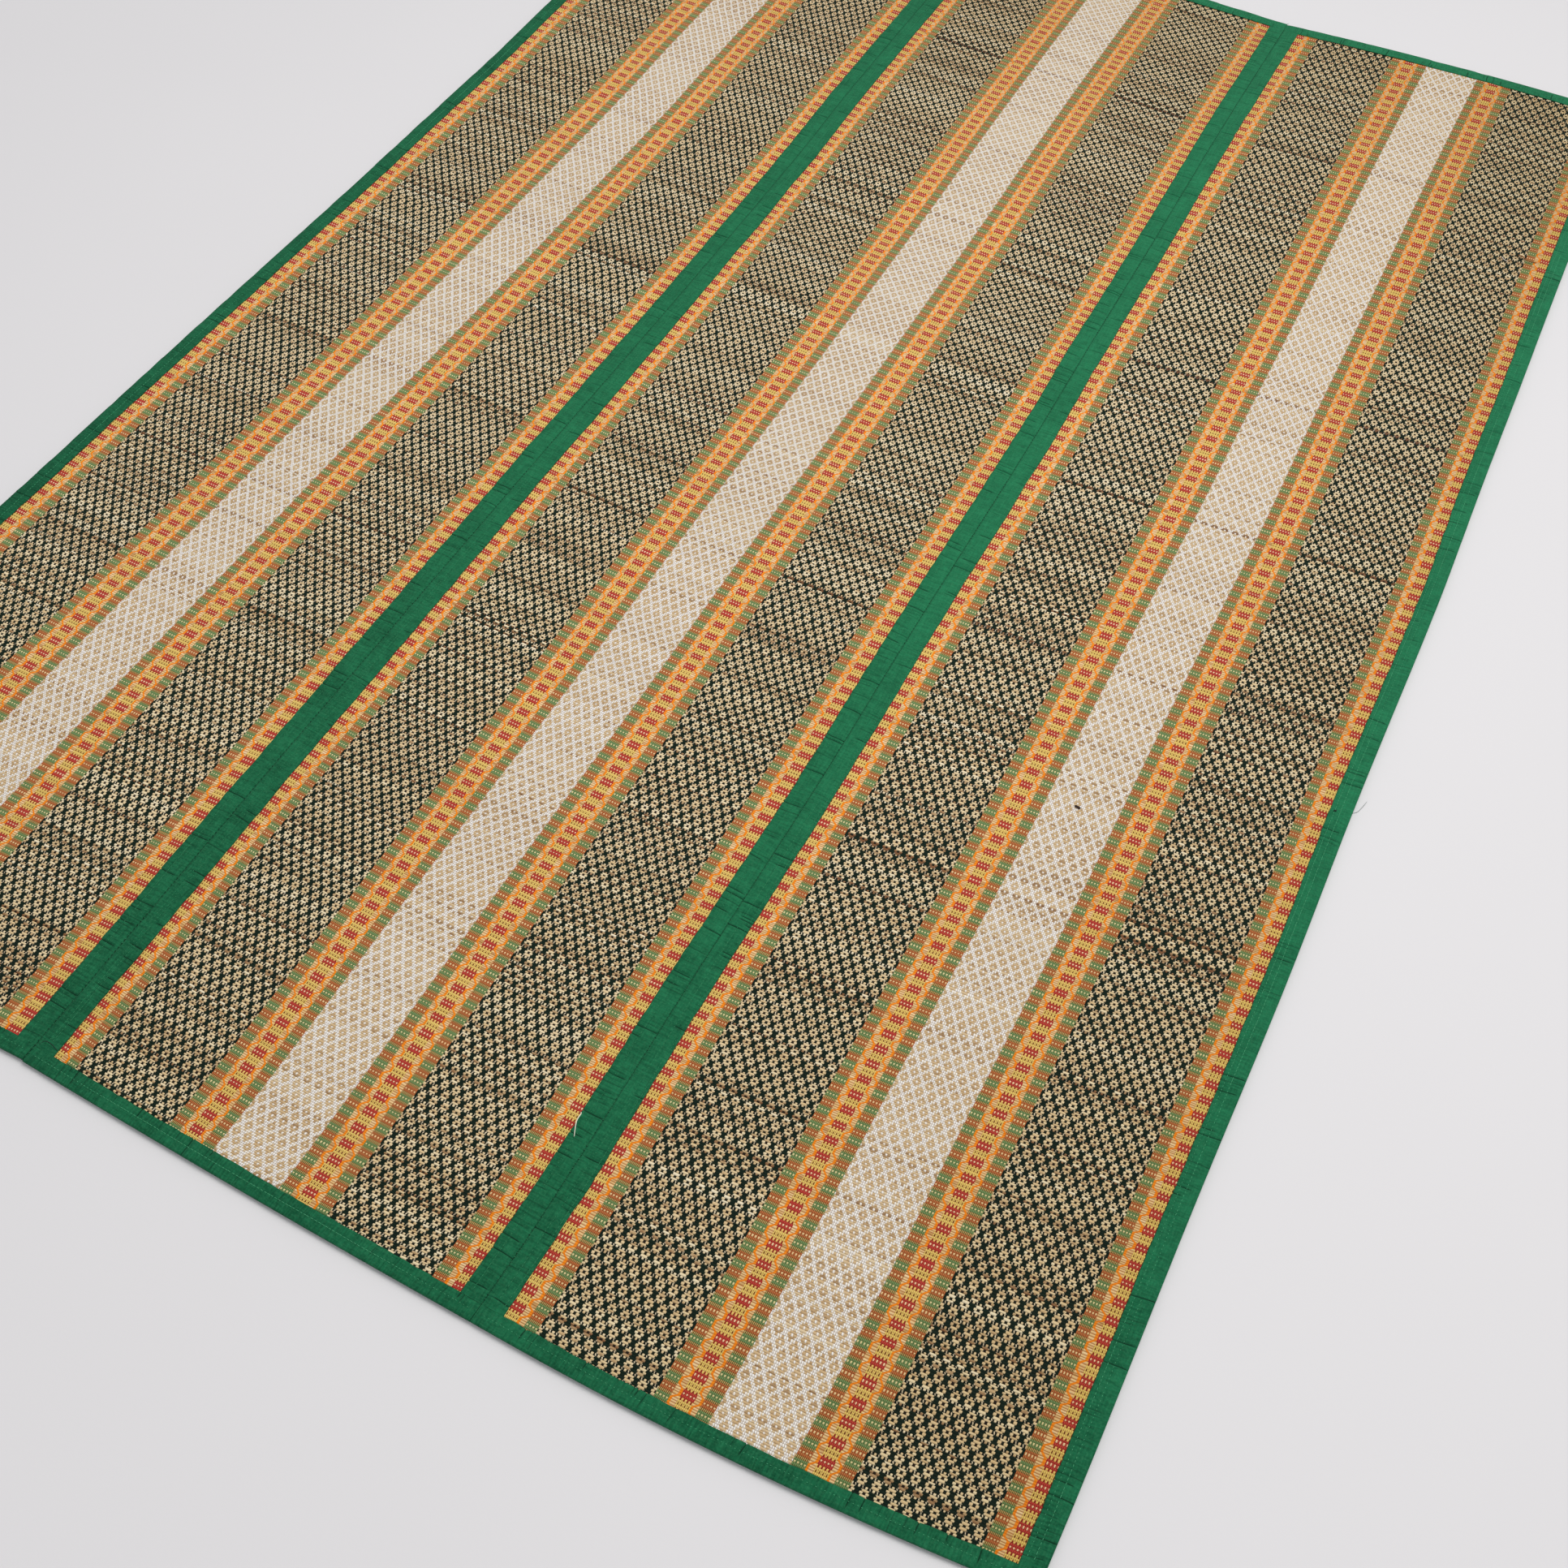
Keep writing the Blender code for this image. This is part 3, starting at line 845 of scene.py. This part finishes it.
def threads(name, places, radius, material):
    """Bent threads with tapered ends. places holds, for each thread, its points in order."""
    path = np.asarray(places)
    count, stations, _ = path.shape
    along = path[:, -1] - path[:, 0]
    along /= np.linalg.norm(along, axis=1, keepdims=True)
    across = np.cross(along, (0.0, 0.0, 1.0))
    across /= np.linalg.norm(across, axis=1, keepdims=True)
    across, lift = across[:, None, None], np.cross(across, along)[:, None, None]
    turn = 2 * np.pi * (np.arange(THREAD_SIDES)[:, None] + 0.5) / THREAD_SIDES
    ring = across * np.cos(turn) + lift * np.sin(turn)
    taper = (THREAD_TAPER, 1, 1, THREAD_TAPER)
    girth = np.interp(np.linspace(0, 1, stations), (0, 0.25, 0.75, 1), taper)
    points = path[:, :, None] + radius * girth[None, :, None, None] * ring
    ids = np.arange(count * stations * THREAD_SIDES).reshape(count, stations, THREAD_SIDES)
    ids = np.concatenate([ids, ids[..., :1]], -1)
    quads = np.stack([ids[:, :-1, :-1], ids[:, 1:, :-1], ids[:, 1:, 1:], ids[:, :-1, 1:]], -1)
    caps = [ids[:, 0, :-1], ids[:, -1, :-1][:, ::-1]]
    return mesh_object(name, points.reshape(-1, 3), [quads.reshape(-1, 4), *caps], material)


def stitch_paths(place, length, depth, height, rng):
    """Paths of a line of stitches along a binding, in stretches of short and long ones."""
    starts = np.arange(STITCH_MARGIN, length - STITCH_MARGIN, STITCH_PITCH)
    starts = starts + rng.normal(0, STITCH_JITTER, len(starts))
    offsets = STITCH_WANDER * smooth_noise(starts, 0.03, rng)
    sizes = np.interp(smooth_noise(starts, 0.14, rng), (-0.3, 0.5), STITCH_LENGTHS)
    paths = []
    for start, offset, size in zip(starts, offsets, sizes):
        reach = size * rng.uniform(0.85, 1.12)
        tilt = rng.normal(0, STITCH_TILT)
        path = []
        for share, rise in STITCH_SHAPE:
            x, y = place(depth + offset + tilt * (share - 0.5), (start + share * reach) / length)
            path.append((float(x), float(y), height + rise))
        paths.append(path)
    return paths


# --- Materials.


def linear(red, green, blue):
    """A display colour, 0 to 255, as the linear colour that a shader takes."""
    parts = (part / 255 for part in (red, green, blue))
    return (*(p / 12.92 if p <= 0.04045 else ((p + 0.055) / 1.055) ** 2.4 for p in parts), 1)


def feed(tree, value, socket):
    """Gives a node's input a field, another node's output, a display colour or a number."""
    value = getattr(value, "socket", value)
    if isinstance(value, bpy.types.NodeSocket):
        tree.links.new(value, socket)
    else:
        socket.default_value = linear(*value) if isinstance(value, tuple) else value


def shader_node(tree, kind, **inputs):
    """A shader node with its inputs fed. An underscore in a name stands for a space."""
    node = tree.nodes.new("ShaderNode" + kind)
    for name, value in inputs.items():
        feed(tree, value, node.inputs[name.replace("_", " ")])
    return node


class Field:
    """A number that varies over a surface: arithmetic on it adds Math nodes."""

    def __init__(self, tree, socket):
        self.tree, self.socket = tree, socket

    def math(self, operation, *others, clamp=False):
        node = shader_node(self.tree, "Math")
        node.operation, node.use_clamp = operation, clamp
        for socket, value in zip(node.inputs, (self, *others)):
            feed(self.tree, value, socket)
        return Field(self.tree, node.outputs[0])

    __add__ = __radd__ = partialmethod(math, "ADD")
    __sub__ = partialmethod(math, "SUBTRACT")
    __mul__ = __rmul__ = partialmethod(math, "MULTIPLY")
    __abs__ = partialmethod(math, "ABSOLUTE")
    over = partialmethod(math, "GREATER_THAN")
    under = partialmethod(math, "LESS_THAN")
    at_least = partialmethod(math, "MAXIMUM")
    at_most = partialmethod(math, "MINIMUM")
    to_and_fro = partialmethod(math, "PINGPONG")

    def __rsub__(self, other):
        return self * -1 + other

    def between(self, low, high):
        return self.over(low) * self.under(high)

    def near(self, whole):
        return self.math("COMPARE", whole, 0.5)

    def soft(self, width):
        """0 well below zero and 1 well above it, with a soft step of this width."""
        return (self * (1 / width)).math("ADD", 0.5, clamp=True)


def colour_mix(tree, factor, first, second, blend="MIX"):
    """A colour between two."""
    node = shader_node(tree, "Mix")
    node.data_type, node.blend_type = "RGBA", blend
    inputs = {socket.identifier: socket for socket in node.inputs}
    for key, value in (("Factor_Float", factor), ("A_Color", first), ("B_Color", second)):
        feed(tree, value, inputs[key])
    return next(s for s in node.outputs if s.identifier == "Result_Color")


def paint(tree, colour, *layers):
    """A colour with others laid over it in turn, each with its share."""
    for share, layer in layers:
        colour = colour_mix(tree, share, colour, layer)
    return colour


def new_material(name):
    material = bpy.data.materials.new(name)
    material.use_nodes = True
    return material, material.node_tree


def finish_material(material, height, depth, strength=1.0, **inputs):
    """Feeds a material's shader, with a bump of this depth where height goes from 0 to 1."""
    tree = material.node_tree
    shader = tree.nodes["Principled BSDF"]
    bump = shader_node(tree, "Bump", Distance=depth, Strength=strength, Height=height)
    feed(tree, bump.outputs["Normal"], shader.inputs["Normal"])
    for name, value in inputs.items():
        feed(tree, value, shader.inputs[name.replace("_", " ")])
    return material


def surface_place(tree):
    """Object coordinates, in metres."""
    return shader_node(tree, "TexCoord").outputs["Object"]


def noise(tree, place, scale, detail=3.0):
    node = shader_node(tree, "TexNoise", Vector=place, Scale=scale, Detail=detail, Roughness=0.55)
    return Field(tree, node.outputs["Fac"])


def parts_of(tree, socket):
    return (Field(tree, part) for part in shader_node(tree, "SeparateXYZ", Vector=socket).outputs)


def place_from(tree, x, y, z):
    return shader_node(tree, "CombineXYZ", X=x, Y=y, Z=z).outputs["Vector"]


def attribute(tree, name, output):
    """What the mesh says at each point."""
    node = shader_node(tree, "Attribute")
    node.attribute_name = name
    return node.outputs[output]


STEM_TONES = (
    (0.0, (72, 38, 24)),
    (0.25, (136, 92, 56)),
    (0.5, (227, 198, 151)),
    (0.75, (246, 227, 188)),
    (1.0, (251, 241, 216)),
)


def weave_chart(tree):
    """Where a point lies in the weave's chart, and how the weave varies there."""
    end, pick, tone = parts_of(tree, attribute(tree, "weave", "Vector"))
    place = surface_place(tree)
    reach = abs(end)
    stem = (pick + 0.5).math("FLOOR")
    row = stem.to_and_fro(STEMS_PER_REPEAT / 2)
    white_to, green_to, wave_to, yellow_to, next_wave_to, dark_from, dark_to, *outer = BORDER_ENDS
    wave = reach.between(green_to, wave_to) + reach.between(yellow_to, next_wave_to)
    return SimpleNamespace(
        end=end,
        pick=pick,
        tone=tone,
        place=place,
        reach=reach,
        row=row,
        off_stem=abs(pick - stem),
        leaning=end + (pick - stem) * THREAD_LEAN,
        on_flower_row=row.under(0.5) + row.over(3.5),
        between_rows=row.near(2),
        white=reach.under(white_to),
        dark=reach.between(dark_from, dark_to),
        yellow=reach.between(wave_to, yellow_to) + reach.over(outer[1]),
        wave=wave + reach.between(outer[0], outer[1]),
        mottle=noise(tree, place, 14.0),
        loose=noise(tree, place, 70.0, 2.0),
        grain=noise(tree, place, 320.0, 2.0),
        fibre=noise(tree, place, 900.0, 2.0),
    )


def flower_parts(chart):
    """How bare the stems are in a flower band, its leaning slashes, and both kinds of centre.

    A stem shows where its threads pass below it. A flower has a centre and two side petals on its
    middle stem, a bar on the stems beside it and a small square beyond."""
    row, half = chart.row, FLOWER_PITCH / 2
    petal = (chart.end - half).to_and_fro(half)
    from_centre = petal + row.over(2) * (half - petal * 2)
    from_square = petal.at_most(half - petal)
    bare = (
        chart.on_flower_row * (PETAL_HALF - abs(from_centre - PETAL_PLACE))
        + (row.near(1) + row.near(3)) * (BAR_HALF - from_centre)
        + chart.between_rows * (SQUARE_HALF - from_square)
    )
    off_row = abs(chart.pick.to_and_fro(STEMS_PER_REPEAT / 2) - 2)
    leaning_petal = (chart.leaning - half).to_and_fro(half)
    slash = SLASH_HALF - abs(leaning_petal - SLASH_PLACE)
    slash = slash - (off_row - 0.8).at_least(0.0) * 4
    bare = bare.at_least(slash)
    bare = bare + (chart.fibre - 0.5) * 0.2 + (chart.loose - 0.5) * 0.45 - chart.dark * 0.12
    bare = (bare - chart.off_stem * chart.off_stem * 0.4).soft(0.2)
    centre = from_centre.under(0.6)
    return bare, slash, row.under(0.5) * centre, row.over(3.5) * centre


def stem_colour(tree, chart, slash):
    """Grass stems, each in its own tone, a little greyer in the white band."""
    ramp = shader_node(tree, "ValToRGB")
    stops = ramp.color_ramp.elements
    while len(stops) < len(STEM_TONES):
        stops.new(0.5)
    for stop, (position, shade) in zip(stops, STEM_TONES):
        stop.position, stop.color = position, linear(*shade)
    tone = chart.tone + chart.white * (0.5 - chart.tone) * 0.35
    tone = tone + (chart.grain - 0.5) * 0.2 + (chart.mottle - 0.5) * 0.14
    feed(tree, tone, ramp.inputs["Fac"])
    stems = colour_mix(tree, chart.white, ramp.outputs["Color"], (230, 225, 222), "MULTIPLY")
    return colour_mix(tree, slash.over(-0.1) * 0.5, stems, (244, 236, 214))


def flower_threads(tree, chart, red_centre, green_centre):
    """White threads in the middle band and dark ones in the outer band."""
    dark = paint(
        tree,
        colour_mix(tree, chart.fibre, (4, 17, 9), (18, 42, 27)),
        # Painted shadow in the holes between flower rows, beside the small squares.
        (chart.between_rows * 0.7, (10, 10, 4)),
        (red_centre, (26, 28, 18)),
        (green_centre, (30, 18, 10)),
    )
    # Painted shade in the gaps between white threads.
    gap_shade = 0.10 + chart.loose * 0.1 - (chart.leaning + 0.5).to_and_fro(0.5)
    white = paint(
        tree,
        colour_mix(tree, chart.fibre, (240, 235, 230), (255, 254, 252)),
        (gap_shade.soft(0.14) * 0.8, (172, 150, 122)),
        (red_centre * 0.15, (222, 196, 158)),
    )
    return colour_mix(tree, chart.white, dark, white)


def block_colour(tree, chart):
    """Fine dashes in one colour, a row of dots in their middle and strokes between them."""
    mix = partial(colour_mix, tree)
    fine = chart.end.to_and_fro(0.375)
    coarse = (chart.end + 0.75).to_and_fro(0.75)
    between_dashes = 1 - (fine - 0.10).soft(0.08)
    dots = (0.14 + chart.loose * 0.3 - coarse).soft(0.12) * (0.40 - chart.off_stem).soft(0.1)
    dots = chart.on_flower_row * dots
    later_rows = chart.row.over(2.5)
    yellow_rows = paint(
        tree,
        mix(later_rows, (182, 40, 44), (248, 214, 120)),
        (between_dashes * 0.65, mix(later_rows, (206, 118, 78), (120, 70, 30))),
        (dots, mix(later_rows, (252, 222, 180), (116, 58, 24))),
        (chart.between_rows, mix((coarse - 0.36).soft(0.1), (150, 44, 30), (246, 206, 120))),
    )
    green_rows = paint(
        tree,
        mix(later_rows, (200, 116, 66), (124, 154, 98)),
        (between_dashes * 0.8, (40, 42, 18)),
        (dots, (240, 218, 166)),
        (chart.between_rows, mix((fine - 0.17).soft(0.08), (66, 66, 28), (208, 172, 108))),
    )
    under_binding = chart.reach.over(LAST_SHOWN)
    return paint(tree, green_rows, (chart.yellow, yellow_rows), (under_binding, (240, 176, 84)))


def wave_line(chart):
    """Where the orange thread runs that steps from side to side over bare stems."""
    swing = (chart.pick * (2 * math.pi / STEMS_PER_REPEAT)).math("COSINE") * 1.5
    swing = swing.at_most(1.0).at_least(-1.0)
    local = chart.end.math("FLOORED_MODULO", WAVE_WIDTH) * (1 / WAVE_WIDTH)
    return (0.19 - abs(local - 0.48 - swing * 0.36)).soft(0.06)


def weave_material():
    """Grass stems crossed by cotton threads, charted in thread ends and stems."""
    material, tree = new_material("woven_grass_weave")
    chart = weave_chart(tree)
    bare, slash, red_centre, green_centre = flower_parts(chart)
    stems = stem_colour(tree, chart, slash)
    line = wave_line(chart)
    waves = paint(tree, stems, (0.45, (248, 198, 120)), (line, (255, 146, 22)))
    bands = colour_mix(tree, chart.wave, block_colour(tree, chart), waves)
    flower_thread = flower_threads(tree, chart, red_centre, green_centre)
    flowers = colour_mix(tree, bare, flower_thread, stems)
    flowered = chart.white + chart.dark

    # Painted shade in the gaps between stems, deepest where nothing crosses them.
    gap_shade_colour = paint(
        tree,
        colour_mix(tree, chart.dark, (74, 40, 20), (14, 18, 12)),
        (chart.white, (124, 92, 58)),
        (chart.wave, (176, 104, 48)),
    )
    depth = 0.26 + chart.white * 0.2 + flowered * bare * 0.25 + chart.wave * (1 - line) * 0.5
    gap_shade = (chart.off_stem - 0.40 + chart.wave * 0.08).soft(0.14) * depth
    colour = paint(tree, bands, (flowered, flowers), (gap_shade, gap_shade_colour))

    # Greyer towards both ends and the right edge, less so on white thread.
    side, length, _ = parts_of(tree, chart.place)
    greying = length * length * 0.55 + side.at_least(0.0) * side * 1.2
    greying = (greying + 0.04).math("ADD", 0.0, clamp=True) * (1 - chart.white * 0.6)
    colour = colour_mix(tree, greying, colour, (214, 208, 190), "MULTIPLY")

    threads = flowered * (1 - bare) + (1 - flowered) * (1 - chart.wave) + chart.wave * line
    roughness = 0.52 + threads * 0.3 + (chart.grain - 0.5) * 0.16
    round_stem = 1 - chart.off_stem * chart.off_stem * 4
    ply = ((chart.end + 0.5).to_and_fro(0.5) * 4).at_most(1.0)
    height = round_stem * 0.55 + threads * ply * 0.35 + chart.fibre * 0.14
    levels = {"Base_Color": colour, "Roughness": roughness, "Specular_IOR_Level": 0.2}
    return finish_material(material, height, 0.0005, 0.8, **levels)


def cotton_material():
    """Plain green cotton, faded a little unevenly, with painted shade in its creases and at stitch
    dimples.
    """
    material, tree = new_material("green_binding_cotton")
    place = surface_place(tree)
    mottle = noise(tree, place, 26.0, 4.0)
    lint = noise(tree, place, 600.0, 2.0)
    patches = noise(tree, place, 180.0, 3.0)
    crease = Field(tree, attribute(tree, "crease", "Fac"))
    along, depth, strip = parts_of(tree, attribute(tree, "cloth", "Vector"))
    warp, weft = ((way * (2 * math.pi / COTTON_PITCH)).math("SINE") for way in (along, depth))
    cloth = warp * weft
    cross_streaks = noise(tree, place_from(tree, along, depth * 0.12, strip), 700.0, 2.0)
    long_streaks = noise(tree, place_from(tree, along * 0.12, depth, strip), 700.0, 2.0)
    across, length, _ = parts_of(tree, place)
    shade = mottle * 0.5 + patches * 0.3 + cross_streaks * 0.75 + long_streaks * 0.5 - 0.525
    # Darker towards the near end and towards the left side.
    shade = shade - (length * -1 - 0.1).at_least(0.0) * 0.35
    shade = shade - (across * -1).at_least(0.0) * 0.45
    # Painted shade of the dimples that stitches pull into a seamed edge, here and there.
    dimple_shade = (0.17 - (along * (1 / SEAM_PITCH)).to_and_fro(0.5)).soft(0.1)
    dimple_shade = dimple_shade * (0.00045 - depth).soft(0.0003) * strip.over(1)
    dimple_shade = dimple_shade * (patches * 3 - 0.9).at_most(1.0).at_least(0.0)
    colour = paint(
        tree,
        colour_mix(tree, shade, (4, 75, 46), (40, 138, 92)),
        ((lint - 0.5) * 0.5 + 0.03, (84, 156, 112)),
        # Painted shade in the creases and at the stitch dimples.
        (crease * 0.92, (3, 34, 20)),
        (dimple_shade * 0.8, (3, 34, 20)),
    )
    relief = cloth * 0.4 + lint * 0.8 + mottle + cross_streaks * 1.2 + long_streaks * 0.6
    levels = {"Base_Color": colour, "Roughness": 0.78 + lint * 0.18}
    levels |= {"Specular_IOR_Level": 0.15, "Sheen_Weight": 0.02}
    return finish_material(material, relief, 0.00015, 0.8, **levels)


def thread_material(name, dark, light):
    """Spun thread in two tones."""
    material, tree = new_material(name)
    place = surface_place(tree)
    fuzz = noise(tree, place, 1500.0, 2.0)
    shade = noise(tree, place, 60.0)
    colour = colour_mix(tree, fuzz * 0.6 + shade * 0.4, dark, light)
    roughness = 0.7 + fuzz * 0.2
    return finish_material(material, fuzz, 0.0001, Base_Color=colour, Roughness=roughness)


def floor_material():
    material, tree = new_material("pale_floor")
    place = surface_place(tree)
    cloud = noise(tree, place, 1.5)
    colour = colour_mix(tree, cloud, (219, 217, 218), (223, 221, 222))
    roughness, grit = 0.7 + cloud * 0.1, noise(tree, place, 300.0)
    return finish_material(material, grit, 0.00005, Base_Color=colour, Roughness=roughness)


# --- View, light and floor.

CAMERA_PLACE = (0.5517, -1.1735, 1.1925)
CAMERA_RIGHT = (0.88825, 0.45904, 0.01705)
CAMERA_UP = (-0.38223, 0.71803, 0.58167)
CAMERA_BACK = (0.25477, -0.52319, 0.81325)
CAMERA_LENS, CAMERA_FRAME = 40.19, 36.0
FLOOR_HALF, FLOOR_HEIGHT = 6.0, -0.0002


def add_camera():
    camera = bpy.data.cameras.new("camera")
    camera.lens, camera.sensor_width = CAMERA_LENS, CAMERA_FRAME
    camera.sensor_fit = "HORIZONTAL"
    camera.clip_start = 0.01
    view = bpy.data.objects.new("camera", camera)
    turn = Matrix((CAMERA_RIGHT, CAMERA_UP, CAMERA_BACK)).transposed().to_4x4()
    view.matrix_world = Matrix.Translation(Vector(CAMERA_PLACE) + Vector(SHIFT)) @ turn
    bpy.context.scene.collection.objects.link(view)
    bpy.context.scene.camera = view


def add_lamp(name, kind, place, target, power, colour, size):
    """A soft lamp looking from one place to another: a sun's size is an angle, in degrees."""
    lamp = bpy.data.lights.new(name, kind)
    lamp.energy, lamp.color = power, colour
    if kind == "SUN":
        lamp.angle = math.radians(size)
    else:
        lamp.shape, lamp.size = "DISK", size
    light = bpy.data.objects.new(name, lamp)
    light.location = place
    light.rotation_euler = (Vector(target) - Vector(place)).to_track_quat("-Z", "Y").to_euler()
    bpy.context.scene.collection.objects.link(light)


def add_studio():
    scene = bpy.context.scene
    scene.view_settings.view_transform = "Standard"
    world = bpy.data.worlds.new("studio")
    world.use_nodes = True
    background = world.node_tree.nodes["Background"]
    background.inputs["Color"].default_value = (0.96, 0.97, 1.0, 1)
    background.inputs["Strength"].default_value = 0.55
    scene.world = world
    add_lamp("window", "SUN", (1.6, 2.0, 3.2), (0, 0, 0), 0.79, (1.0, 0.985, 0.965), 40)
    add_lamp("softbox", "AREA", (0.55, 0.3, 2.6), (0.1, 0.0, 0), 29, (1.0, 0.99, 0.97), 1.6)
    sides = (-FLOOR_HALF, 0, FLOOR_HALF)
    points = np.array([(x, y, FLOOR_HEIGHT) for y in sides for x in sides]) - SHIFT
    faces = grid_quads(np.arange(len(points)).reshape(3, 3))
    mesh_object("floor", points, [faces], floor_material())


# --- The mat.


def mount(piece, slot, *nodes):
    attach(piece, "root")
    if nodes:
        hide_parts(*nodes)


def add_binding(sheet_name, side_name, place, length, row, seamed, cotton, rng):
    """One binding in place of its solid. Gives the paths of the stitches along it."""
    width, cotton_width, height = SIDE_BINDING_WIDTH, SIDE_COTTON_WIDTH, SIDE_STITCH_HEIGHT
    if row is END_ROW:
        width, cotton_width, height = END_BINDING_WIDTH, END_COTTON_WIDTH, END_STITCH_HEIGHT
    name = f"{sheet_name}_{side_name}_cotton_binding"
    piece = binding(name, place, length, width, row, seamed, cotton, rng)
    mount(piece, "green_cotton", f"{sheet_name}_sheet_{side_name}_binding")
    lines = [stitch_paths(place, length, at * MM, height, rng) for at in row.stitch_lines]
    return sum(lines, [])


def add_bindings(cotton):
    """All the bindings. Gives the paths of the stitches along open edges and beside seams."""
    edge_paths, seam_paths = [], []
    length = 2 * (HALF_LENGTH - END_BINDING_WIDTH)
    for number, row in enumerate(BINDING_ROWS):
        sheet = SHEET_NAMES.index(row.sheet)
        seamed = row.side * (sheet - 1) < 1
        place = partial(point_on_side, sheet, row.side)
        side_name = "left" if row.side < 0 else "right"
        rng = np.random.default_rng(900 + number)
        paths = add_binding(row.sheet, side_name, place, length, row, seamed, cotton, rng)
        (seam_paths if seamed else edge_paths).extend(paths)
    for sheet, name in enumerate(SHEET_NAMES):
        for end, end_name in ((-1, "near"), (1, "far")):
            place = partial(point_on_end, sheet, end)
            rng = np.random.default_rng(950 + 10 * sheet + end)
            paths = add_binding(name, end_name, place, SHEET_PITCH, END_ROW, False, cotton, rng)
            edge_paths.extend(paths)
    return edge_paths, seam_paths


def seam_stitch_paths():
    """Paths of the stitches over the two seams between panels."""
    rng = np.random.default_rng(77)
    paths = []
    for seam in (1, 2):
        for y in np.arange(-HALF_LENGTH + 0.004, HALF_LENGTH - 0.004, SEAM_PITCH):
            y = y + rng.normal(0, 0.0002)
            x = float(long_line(seam, y))
            slant = rng.normal(0.0004, 0.0002)
            start = (x - SEAM_HALF_REACH, y - slant, SEAM_STITCH_HEIGHT)
            middle = (x, y, SEAM_STITCH_HEIGHT + 0.0001 - rng.uniform(0, 0.0004))
            stop = (x + SEAM_HALF_REACH, y + slant, SEAM_STITCH_HEIGHT)
            paths.append([start, middle, stop])
    return paths


def make_mat():
    weave = weave_material()
    cotton = cotton_material()
    sewing = thread_material("green_sewing_thread", (44, 140, 94), (90, 180, 132))
    seam_sewing = thread_material("dull_green_sewing_thread", (22, 114, 72), (58, 146, 100))
    seam_thread = thread_material("green_seam_thread", (14, 92, 56), (34, 124, 80))

    for sheet, name in enumerate(SHEET_NAMES):
        piece = woven_sheet(sheet, weave)
        mount(piece, "woven_grass", f"{name}_grass_sheet")
    edge_paths, beside_seam_paths = add_bindings(cotton)
    for name, paths, radius, thread in (
        ("edge_binding_stitches", edge_paths, STITCH_RADIUS, sewing),
        ("seam_binding_stitches", beside_seam_paths, STITCH_RADIUS, seam_sewing),
        ("seam_stitches", seam_stitch_paths(), SEAM_STITCH_RADIUS, seam_thread),
    ):
        mount(threads(name, paths, radius, thread), "green_cotton")
    for row in LOOSE_ROWS:
        path = np.array(row.places)
        at = np.linspace(0, len(path) - 1, LOOSE_STATIONS)
        path = np.stack([curve(range(len(path)), path[:, k], at) for k in range(3)], -1)
        piece = threads(row.name, [path], row.radius, thread_material(row.name, *row.tones))
        mount(piece, row.slot)


for old in [thing for thing in bpy.data.objects if thing.type in ("CAMERA", "LIGHT")]:
    bpy.data.objects.remove(old)
add_camera()
add_studio()
make_mat()
